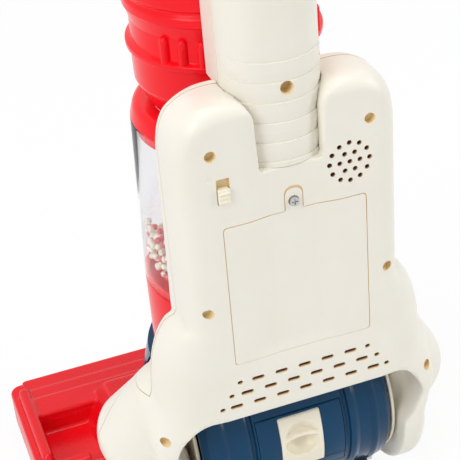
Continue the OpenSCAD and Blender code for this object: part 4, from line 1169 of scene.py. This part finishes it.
def bead_places(sizes):
    """Seeded places of the beads: a heap that leans on the bin's left wall, one bead to a spot."""
    chance = np.random.default_rng(11)
    size = sizes.bead / MM
    reach = BIN_R - BEAD_MARGIN - size / 2
    kept = np.zeros((0, 3))
    for _ in range(BEAD_TRIES):
        if len(kept) >= sizes.bead_count:
            break
        turn, radius = chance.uniform(0, 2 * math.pi), reach * math.sqrt(chance.uniform(0.0, 1))
        x, y = radius * math.cos(turn), radius * math.sin(turn)
        lean = (-x * HEAP_WAY[0] - y * HEAP_WAY[1]) / reach
        rise = HEAP_RISE * max(0.0, lean) ** 1.6 * (radius / reach) ** 2
        top = HEAP_FLOOR + 5 * chance.uniform() + rise
        z = chance.uniform(BEAD_FLOOR + size / 2, max(top, HEAP_FLOOR + size))
        if math.hypot(x, y) < FAN_ROOM_R and z < FAN_ROOM_TOP:
            continue
        spot = np.array((x, y + BIN_Y, z))
        if len(kept) and ((kept - spot) ** 2).sum(1).min() < (0.93 * size) ** 2:
            continue
        kept = np.vstack((kept, spot))
    return kept


def bead_shape(size):
    """A small ball to be copied."""
    points, rows, sides, radius = [], 6, 9, size / 2
    for row in range(rows + 1):
        tilt = math.pi * row / rows
        for s in range(sides):
            a = 2 * math.pi * s / sides
            points.append((radius * math.sin(tilt) * math.cos(a), radius * math.sin(tilt) * math.sin(a),
                           radius * math.cos(tilt)))
    return small_shape("bead", points, grid_faces(rows + 1, sides))


class VACUUM_OT_bin(bpy.types.Operator):
    """Turns the clear bin and its red base and fills the bin with beads"""

    bl_idname = "vacuum.bin"
    bl_label = "Bin and beads"

    def execute(self, context):
        sizes = context.scene.vacuum_sizes
        clear = turned("clear_bin_shell", rounded_outline(
            [(BIN_R, BIN_LOW + 0.2, 0.4), (LID_R - 0.1, BIN_TOP - 0.2, 0.4),
             (LID_R - 1.3, BIN_TOP - 0.2, 0.3), (BIN_R - 1.3, BIN_LOW + 0.2, 0.3)],
            steps=3), "clear", sides=180)
        dress(clear, "upper", "clear", "clear_bin")
        base = turned("bin_base_shell", rounded_outline(
            [(BIN_R, 96.2, 0.8), (BIN_R, BIN_LOW - 0.1, 0.9), (62.7, BIN_LOW - 0.1, 0.4),
             (62.7, 159.6, 0.5), (60.5, 159.6, 0.5), (60.5, 153.4, 0.6), (3.2, 153.4, 0), (3.2, 151, 0),
             (62.4, 151, 1.5), (62.4, 96.2, 0.4)], steps=4), "red")
        carve(base, rod("drum_cut", DRUM_R + DRUM_CLEAR, -90, 90, "red", sides=160))
        sweep = [(AXIS_Y + SWEEP_R * math.cos(a), AXIS_Z + SWEEP_R * math.sin(a))
                 for a in np.linspace(math.radians(96), math.radians(180), 40)]
        sweep.append((AXIS_Y - SWEEP_BEHIND, AXIS_Z))
        carve(base, prism("sweep_cut", sweep, "x", -SWEEP_HALF, SWEEP_HALF, "red"))
        dress(base, "upper", "red", "bin_base")
        places = bead_places(sizes)
        pick = np.random.default_rng(5).uniform(size=len(places)) < PINK_SHARE
        shape = bead_shape(sizes.bead / MM)
        for name, chosen, finish in (("beads_cream", ~pick, "bead_cream"),
                                     ("beads_pink", pick, "bead_pink")):
            heap = instances(name + "_heap", places[chosen], shape, finish)
            heap.data.shade_smooth()
            dress(heap, "upper", finish, name)
        discard(shape)
        return {"FINISHED"}


# Drum and drawer

DOOR_HALF, GRIP_HALF = limits("drawer_door", 0)[1], limits("drawer_grip", 0)[1]
DOOR_LOW, DOOR_TOP = limits("drawer_door", 2)
GRIP_LOW, GRIP_TOP = limits("drawer_grip", 2)
DRUM_END, DRUM_SHARP, STUB_END = DRUM_HALF + 3.0, 40.0, 80.2
ROLLER_Y, ROLLER_R, ROLLER_ENDS = AXIS_Y - 25.0, limits("rear_roller_left", 2)[1] / 2, (38.0, 54.5)
LEFT_RIM, RIGHT_RIM = 41.0, 47.6
# Grip: how far it stands out and goes in, its dish, the dish's depth over and under the bar, and the bar
GRIP_PROUD, GRIP_BACK = 0.9, 28.6
DISH_Z, DISH_HALF_X, DISH_HALF_Z, DISH_UPPER, DISH_LOWER = 71.5, 11.6, 12.0, 5.5, 10.0
BAR_Z, BAR_BOW = 75.2, 0.018


def drum_profile(inner):
    """The drum's skin along x: a groove beside the door, two crowned bands and a rounded end."""
    r, end, door = DRUM_R, DRUM_END, DOOR_HALF
    half = [(door + 1.4, r, 0.7), (door + 2.2, r - 2.0, 0.6), (door + 4.4, r - 2.0, 0.6),
            (door + 5.0, r - 0.1, 0.8), (door + 7.6, r + 1.1, 3.0), (door + 10.2, r - 0.1, 0.8),
            (door + 11.2, r - 0.6, 1.2), (door + 19.4, r - 0.6, 1.2), (door + 20.2, r - 0.1, 0.8),
            (door + 22.6, r + 1.0, 3.0), (door + 25.0, r - 0.1, 0.8), (end - 5, r - 1.6, 5),
            (end - 0.4, r - 6, 3)]
    outer = [(-x, rr, k) for x, rr, k in half[::-1]] + half
    whole = [(rr, x, k) for x, rr, k in outer] + [(r - inner, end - 0.4, 0.5), (r - inner, 0.4 - end, 0.5)]
    return rounded_outline(whole, steps=5)


class VACUUM_OT_drum(bpy.types.Operator):
    """Turns the drum and its two end discs"""

    bl_idname = "vacuum.drum"
    bl_label = "Drum"

    def execute(self, context):
        shell = turned("drum_shell_skin", drum_profile(10.0), "navy", axis="x", sides=240, sharp=DRUM_SHARP)
        gap = 0.45
        carve(shell, box("door_gap", (-DOOR_HALF - gap, -20, DOOR_LOW - gap),
                         (DOOR_HALF + gap, AXIS_Y - 20, DOOR_TOP + gap), "navy"))
        near, far = ROLLER_ENDS
        for low, high in ((-far, -near), (near, far)):
            carve(shell, rod("roller_pocket", ROLLER_R + 1.5, low, high, "navy",
                             centre=(ROLLER_Y, ROLLER_R)))
        smooth(shell, DRUM_SHARP)
        dress(shell, "base", "blue", "drum_shell")
        end = DRUM_END
        for s, name, rim in ((-1, "drum_end_left", LEFT_RIM), (1, "drum_end_right", RIGHT_RIM)):
            profile = [(rr, s * x, k) for rr, x, k in (
                (9, end + 0.2, 0.4), (rim, end + 0.2, 0.4), (rim, end + 2.4, 1.0),
                (rim - 3, end + 2.4, 1.0), (rim - 4, end + 1.2, 0.8), (14, end + 1.2, 1),
                (11, end + 3.4, 1), (7.9, end + 5, 0.6),
                (7.9, STUB_END, 1.0), (0.01, STUB_END, 0), (0.01, end - 4, 0), (9, end - 4, 0.4))]
            disc = turned(name + "_disc", rounded_outline(profile, steps=4), "ivory", axis="x", sides=120)
            dress(disc, "base", "ivory", name)
        return {"FINISHED"}


def grip_form(x, y, z):
    """The drawer's grip: a plate on the drum's curve with a dish that a bar crosses."""
    radius = np.hypot(y - AXIS_Y, z - AXIS_Z)
    middle, half = (GRIP_LOW + GRIP_TOP) / 2, (GRIP_TOP - GRIP_LOW) / 2
    plate = round_rect(x, z - middle, GRIP_HALF, half, 1.2)
    plate = np.maximum(round_edge(plate, radius - DRUM_R - GRIP_PROUD, 1.0), y - GRIP_BACK)
    face = AXIS_Y - np.sqrt(np.maximum((DRUM_R + GRIP_PROUD) ** 2 - (z - AXIS_Z) ** 2, 1.0))
    depth = y - face
    across = (x / DISH_HALF_X) ** 2 + ((z - DISH_Z) / DISH_HALF_Z) ** 2
    upper = (np.sqrt(across + (depth / DISH_UPPER) ** 2) - 1) * DISH_UPPER
    lower = (np.sqrt(across + (depth / DISH_LOWER) ** 2) - 1) * 8
    bar = BAR_Z - BAR_BOW * x * x
    upper = soft_max(upper, bar + 1.3 - z, 1.2)
    lower = soft_max(lower, z - bar + 1.4, 1.2)
    return soft_max(plate, -np.minimum(upper, lower), 0.8)


class VACUUM_OT_drawer(bpy.types.Operator):
    """Moulds the drawer's door and its grip"""

    bl_idname = "vacuum.drawer"
    bl_label = "Drawer"

    def execute(self, context):
        door = turned("drawer_door_skin", drum_profile(4.0), "navy", axis="x", sides=240, sharp=DRUM_SHARP)
        part = box("door_part", (-DOOR_HALF, -20, DOOR_LOW), (DOOR_HALF, AXIS_Y - 20, DOOR_TOP), "navy")
        carve(door, part, "INTERSECT")
        gap = 0.25
        hole = box("grip_hole", (-GRIP_HALF - gap, -20, GRIP_LOW - gap),
                   (GRIP_HALF + gap, 30, GRIP_TOP + gap), "navy")
        carve(door, hole, sharp=DRUM_SHARP)
        bevel_edges(door, 0.35, segments=2, angle=60, sharp=DRUM_SHARP)
        dress(door, "drawer", "blue", "drawer_door")
        low, high = (-GRIP_HALF - 1.5, 9, GRIP_LOW - 1.5), (GRIP_HALF + 1.5, 30, GRIP_TOP + 1.5)
        points, faces = surface_net(grip_form, low, high, 0.6)
        grip = mesh_object("drawer_grip_plate", points, faces, "ivory", 50.0)
        dress(grip, "drawer", "cream", "drawer_grip")
        return {"FINISHED"}


# Switch

KNOB_HALF, KNOB_TALL, KNOB_GAP = 3.4, 9.3, 0.6
RIDGE_COUNT, RIDGE_START, RIDGE_PITCH = 3, 1.9, 2.6


class VACUUM_OT_switch(bpy.types.Operator):
    """Shapes the sliding switch's knob"""

    bl_idname = "vacuum.switch"
    bl_label = "Switch"

    def execute(self, context):
        x, low = SWITCH_X, SWITCH_LOW + KNOB_GAP
        body = box("knob", (x - KNOB_HALF, -1.7, low), (x + KNOB_HALF, 4.0, low + KNOB_TALL), "ivory", 0.5)
        for k in range(RIDGE_COUNT):
            z = low + RIDGE_START + RIDGE_PITCH * k
            outline = [(-2.45, z - 0.35), (-2.45, z + 0.35), (-1.4, z + 0.85), (-1.4, z - 0.85)]
            ridge = prism("ridge", outline, "x", x - 3.2, x + 3.2, "ivory", 0.15)
            carve(body, ridge, "UNION")
        # The foot is a plate in the recess tan behind the window: painted shade seen in the gap above the
        # knob
        foot = box("foot", (x - 5.3, 2.8, low - 7.4), (x + 5.3, 4.0, low + 16.0), "recess_painted_shade", 0.2)
        stalk = box("stalk", (x - 1.0, 3.8, low + 3), (x + 1.0, 6.9, low + 6), "ivory")
        knob = joined("switch_knob_body", [body, foot, stalk])
        smooth(knob)
        dress(knob, "switch", "ivory", "switch_knob")
        return {"FINISHED"}


# Floor head

HOOD_HALF, HOOD_TOP, HEAD_RIM = 94.0, 48.0, 30.0
PAN_Z, RIDGE_Y, RIM_IN, RIM_R = 18.0, 152.0, 8.5, 4.0
BAR_TOP, STEP_DOWN, STEPS_Y = 34.9, 0.9, ((172.0, 174.0), (184.0, 186.0))
HEAD_WALL, HEAD_LOW, HEAD_UNDER, WELL_TOP = 2.5, 4.0, 6.4, 16.0
# Lean of the hood's end and front, and what turns the end's, front's and rear's fields into distances
END_LEAN, FRONT_LEAN = 0.55, 0.62
END_STEEP, FRONT_STEEP, REAR_STEEP = 1.14, 1.18, 1.41
# Room behind the pans and the hood, the pans' lap under the hood, room round the cheeks and hubs
PAN_BACK, HOOD_BACK, PAN_UNDER_HOOD, CHEEK_CLEAR, HUB_CLEAR = 8, 18, 14.0, 1.6, 3.0
HEAD_WHEEL_X, HEAD_WHEEL_Y = HEAD_HALF - 23.0, HEAD_BACK + 16.0


def head_form(x, y, z):
    """The head's cover: a low box with a stepped front, raised rims, a sunk pan at each side and a hood."""
    across = x - HEAD_X
    side = np.abs(across)
    middle, deep = (HEAD_BACK + HEAD_FRONT) / 2, (HEAD_FRONT - HEAD_BACK) / 2
    form = round_edge(round_rect(across, y - middle, HEAD_HALF, deep, 8.0), z - HEAD_RIM, 2.0)
    steps = BAR_TOP - STEP_DOWN * ramp(y, *STEPS_Y[0]) - STEP_DOWN * ramp(y, *STEPS_Y[1])
    bar = round_rect(across, y - (RIDGE_Y + HEAD_FRONT - 1) / 2,
                     HEAD_HALF - 9.5, (HEAD_FRONT - 1 - RIDGE_Y) / 2, 3.0)
    form = soft_min(form, round_edge(bar, z - steps, 1.6), 1.5)
    pan_in, pan_out = HOOD_HALF - PAN_UNDER_HOOD, HEAD_HALF - RIM_IN - RIM_R
    pan = round_rect(side - (pan_in + pan_out) / 2, y - (HEAD_BACK + PAN_BACK + RIDGE_Y) / 2,
                     (pan_out - pan_in) / 2, (RIDGE_Y - HEAD_BACK - PAN_BACK) / 2, 3.0)
    form = soft_max(form, -soft_max(pan, PAN_Z - z, 3.0), 1.6)
    end = (side - HOOD_HALF + (z - HEAD_RIM) * END_LEAN) / END_STEEP
    front = ((z - HOOD_TOP) * FRONT_LEAN + (y - RIDGE_Y - 2)) / FRONT_STEEP
    rear = ((z - HOOD_TOP) - (y - HEAD_BACK - HOOD_BACK)) / REAR_STEEP
    hood = soft_max(soft_max(end, front, 2.0), soft_max(rear, z - HOOD_TOP, 2.0), 2.0)
    hood = np.maximum(hood, HEAD_BACK - y)
    form = soft_min(form, hood, 1.5)
    along = np.clip(y, HEAD_BACK + 8, HEAD_FRONT - 18)
    over = np.maximum(z - HEAD_RIM - 4, 0)
    rim = np.sqrt((side - HEAD_HALF + RIM_IN) ** 2 + (y - along) ** 2 + over ** 2) - RIM_R
    rim = np.maximum(rim, 20.0 - z)
    form = soft_min(form, rim, 2.0)
    radius = np.hypot(y - AXIS_Y, z - AXIS_Z)
    hubs = np.maximum(radius - CHEEK_R - CHEEK_CLEAR, np.abs(x) - HUB_X - HUB_CLEAR)
    form = np.maximum(form, -hubs)
    under = round_rect(across, y - middle, HEAD_HALF - HEAD_WALL, deep - HEAD_WALL, 7.0)
    under = np.maximum(under, z - HEAD_UNDER)
    wells = np.maximum(round_rect(side - HEAD_WHEEL_X, y - HEAD_WHEEL_Y, 7.0, 10.0, 1.0), z - WELL_TOP)
    return np.maximum(np.maximum(form, -np.minimum(under, wells)), HEAD_LOW - z)


class VACUUM_OT_head(bpy.types.Operator):
    """Moulds the floor head's cover"""

    bl_idname = "vacuum.head"
    bl_label = "Floor head"

    def execute(self, context):
        low = (HEAD_X - HEAD_HALF - 3, HEAD_BACK - 3, 1.0)
        high = (HEAD_X + HEAD_HALF + 3, HEAD_FRONT + 3, HOOD_TOP + 3)
        points, faces = surface_net(head_form, low, high, 1.25)
        # The head's cover takes the darker copy of the red: painted shade
        cover = mesh_object("head_cover_shell", points, faces, "head_red_painted_shade", 38.0)
        dress(cover, "base", "red", "head_cover")
        return {"FINISHED"}


# Rollers and wheels


def tyre(name, node, hub_r):
    """A roller with rounded shoulders and a turned hub, in the place of a CAD wheel."""
    low, high = span(node)
    centre = ((low[1] + high[1]) / 2, (low[2] + high[2]) / 2)
    r, x0, x1 = (high[2] - low[2]) / 2, low[0], high[0]
    middle = (x0 + x1) / 2
    tread0, tread1 = (x0 + 1.6, x1 - 1.6) if r > 9 else (x0, x1)
    bore = 2.06 if r > 9 else 1.56
    outline = [(bore, x0, 0.2), (hub_r, x0, 0.5), (hub_r, tread0, 0.3), (r * 0.62, tread0 + 0.9, 0.6),
               (r * 0.72, tread0, 0.6), (r, tread0 + 0.1, 1.6), (r, middle - 0.7, 0.3),
               (r - 0.6, middle, 0.3), (r, middle + 0.7, 0.3), (r, tread1 - 0.1, 1.6),
               (r * 0.72, tread1, 0.6),
               (r * 0.62, tread1 - 0.9, 0.6), (hub_r, tread1, 0.3), (hub_r, x1, 0.5), (bore, x1, 0.2)]
    return turned(name, rounded_outline(outline, steps=4), "black", axis="x", centre=centre, sides=72)


class VACUUM_OT_wheels(bpy.types.Operator):
    """Turns the rear rollers and the head's small wheels"""

    bl_idname = "vacuum.wheels"
    bl_label = "Rollers and wheels"

    def execute(self, context):
        for node, body, hub_r in (("rear_roller_left", "roller_left", 4.0),
                                  ("rear_roller_right", "roller_right", 4.0),
                                  ("head_wheel_left", "wheel_left", 2.6),
                                  ("head_wheel_right", "wheel_right", 2.6)):
            dress(tyre(node + "_tyre", node, hub_r), body, "black", node)
        return {"FINISHED"}


# Carried over CAD pieces

FINISH_NODES = {
    "cream": ("stem_rear", "stem_front", "handle_left", "handle_right", "rear_casing", "front_casing",
              "battery_cover"),
    "navy": ("stem_collar", "bin_apron", "drum_shell", "dust_drawer", "drawer_door", "neck"),
    "steel": ("stem_screw", "handle_screws", "casing_screws", "cover_screw", "battery_contacts",
              "roller_axle", "head_axles", "head_screws"),
    "ivory": ("battery_tray", "switch_knob", "bead_fan", "hub_bush_left", "hub_bush_right",
              "drum_end_left", "drum_end_right", "suction_fan", "drawer_grip"),
    "black": ("switch_module", "speaker", "drum_bulkhead", "rear_roller_left", "rear_roller_right",
              "sole_plate", "head_wheel_left", "head_wheel_right"),
    "red": ("bin_base", "cyclone_lid", "cyclone_body", "cyclone_cap", "head_cover"),
    "motor": ("bead_motor", "suction_motor"),
    "cell": ("battery_cells",),
    "board": ("circuit_board",),
    "clear": ("clear_bin",),
    "bead_cream": ("beads_cream",),
    "bead_pink": ("beads_pink",),
    "felt": ("glide_strip",),
}


class VACUUM_OT_inner(bpy.types.Operator):
    """Gives every CAD piece its finish, for those that stay in view"""

    bl_idname = "vacuum.inner"
    bl_label = "Finishes of the inner pieces"

    def execute(self, context):
        for finish, nodes in FINISH_NODES.items():
            for node in nodes:
                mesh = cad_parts[node].data
                mesh.materials.clear()
                mesh.materials.append(FINISHES[finish])
        return {"FINISHED"}


# Stage

CAMERA_PLACE = (-224.47, -604.52, 651.94)
CAMERA_RIGHT = (0.93776, -0.33859, -0.07710)
CAMERA_UP = (0.24416, 0.48502, 0.83972)
LENS, SENSOR = 106.08, 36.0
# Half the floor's width and its distance under the wheels, in metres
FLOOR_REACH, FLOOR_DROP = 9.0, 0.0005
# Name, place, aim, size and power of each lamp, in metres and watts
LAMPS = (
    ("key_light", (-1.7, -0.9, 1.5), (0, 0, 0.2), (1.0, 1.5), 22),
    ("side_light", (1.9, -0.9, 1.1), (0, 0, 0.2), (0.5, 1.5), 15),
    ("top_light", (0.0, 0.1, 2.4), (0, 0, 0.1), (1.5, 1.5), 24),
)


def area_light(name, place, aim, size, power):
    """A soft lamp that the camera doesn't see."""
    light = bpy.data.lights.new(name, "AREA")
    light.shape = "RECTANGLE"
    light.size, light.size_y = size
    light.energy = power
    made = placed(name, light)
    made.location = place
    made.rotation_euler = (Vector(aim) - Vector(place)).to_track_quat("-Z", "Y").to_euler()
    made.visible_camera = False


def seen_directly(tree):
    """1 where a camera, glossy or transmitted ray meets the surface."""
    path = tree.nodes.new("ShaderNodeLightPath")
    seen = math_node(tree, "MAXIMUM", path.outputs["Is Camera Ray"], path.outputs["Is Glossy Ray"])
    return math_node(tree, "MAXIMUM", seen, path.outputs["Is Transmission Ray"])


def studio_world():
    """Surroundings that are white where they are seen and dimmer as a light."""
    world = bpy.data.worlds.new("studio")
    world.use_nodes = True
    tree = world.node_tree
    tree.nodes.clear()
    dim = wire(tree, "ShaderNodeBackground", Color=(0.97, 0.98, 1.0, 1), Strength=0.42)
    white = wire(tree, "ShaderNodeBackground", Color=(1, 1, 1, 1), Strength=1.0)
    blend = wire(tree, "ShaderNodeMixShader",
                 i0=seen_directly(tree), i1=dim.outputs[0], i2=white.outputs[0])
    end = tree.nodes.new("ShaderNodeOutputWorld")
    tree.links.new(blend.outputs[0], end.inputs[0])
    return world


def paper_floor():
    """A wide sheet that is nearly white where it is seen and takes a shadow."""
    mesh = bpy.data.meshes.new("floor")
    reach = FLOOR_REACH
    corners = [(-reach, -reach, 0), (reach, -reach, 0), (reach, reach, 0), (-reach, reach, 0)]
    mesh.from_pydata(corners, [], [(0, 1, 2, 3)])
    paper, tree, shader, _ = plain_material("floor_paper")
    feed(tree, shader, Base_Color=(0.92, 0.92, 0.92, 1), Roughness=0.9, Specular_IOR_Level=0.1)
    glow = wire(tree, "ShaderNodeEmission", Color=(1, 1, 1, 1), Strength=1.0)
    share = math_node(tree, "MULTIPLY", seen_directly(tree), 0.92)
    blend = wire(tree, "ShaderNodeMixShader", i0=share, i1=shader.outputs[0], i2=glow.outputs[0])
    tree.links.new(blend.outputs[0], tree.nodes["Material Output"].inputs[0])
    mesh.materials.append(paper)
    floor = placed("floor", mesh)
    floor.location.z = -FLOOR_DROP
    return floor


def photo_camera():
    """The camera, fitted to the photograph."""
    camera = bpy.data.cameras.new("camera")
    camera.lens, camera.sensor_width = LENS, SENSOR
    camera.clip_start = 0.01
    seat = placed("camera", camera)
    right, up = Vector(CAMERA_RIGHT), Vector(CAMERA_UP)
    turn = Matrix((right, up, right.cross(up))).transposed().to_4x4()
    seat.matrix_world = Matrix.Translation(to_frame(CAMERA_PLACE)) @ turn
    return seat


class VACUUM_OT_stage(bpy.types.Operator):
    """Sets the floor, the soft light and the camera"""

    bl_idname = "vacuum.stage"
    bl_label = "Stage"

    def execute(self, context):
        scene = context.scene
        scene.view_settings.view_transform = "Standard"
        scene.world = studio_world()
        floor = paper_floor()
        for lamp in LAMPS:
            area_light(*lamp)
        scene.camera = photo_camera()
        return {"FINISHED"}


class VACUUM_PT_panel(bpy.types.Panel):
    """Lists the steps and the values that they use"""

    bl_idname = "VACUUM_PT_panel"
    bl_label = "Toy Vacuum Cleaner"
    bl_space_type = "VIEW_3D"
    bl_region_type = "UI"
    bl_category = "Vacuum"

    def draw(self, context):
        for group in (context.scene.vacuum_sizes, context.scene.vacuum_colours):
            for name in group.__annotations__:
                self.layout.prop(group, name)
        for step in STEPS:
            self.layout.operator(step.bl_idname)


STEPS = (VACUUM_OT_stage, VACUUM_OT_inner, VACUUM_OT_casing, VACUUM_OT_stem, VACUUM_OT_handle,
         VACUUM_OT_cyclone, VACUUM_OT_bin, VACUUM_OT_drum, VACUUM_OT_drawer, VACUUM_OT_switch,
         VACUUM_OT_head, VACUUM_OT_wheels)
CLASSES = (VacuumSizes, VacuumColours, *STEPS, VACUUM_PT_panel)


def register():
    """Adds the classes and the scene's two groups of values."""
    for cls in CLASSES:
        bpy.utils.register_class(cls)
    bpy.types.Scene.vacuum_sizes = bpy.props.PointerProperty(type=VacuumSizes)
    bpy.types.Scene.vacuum_colours = bpy.props.PointerProperty(type=VacuumColours)


def unregister():
    """Takes away what register() added."""
    del bpy.types.Scene.vacuum_sizes
    del bpy.types.Scene.vacuum_colours
    for cls in reversed(CLASSES):
        bpy.utils.unregister_class(cls)


def main():
    """Runs every step."""
    register()
    make_finishes(bpy.context.scene.vacuum_colours)
    for step in STEPS:
        group, name = step.bl_idname.split(".")
        getattr(getattr(bpy.ops, group), name)()


if __name__ == "__main__":
    main()
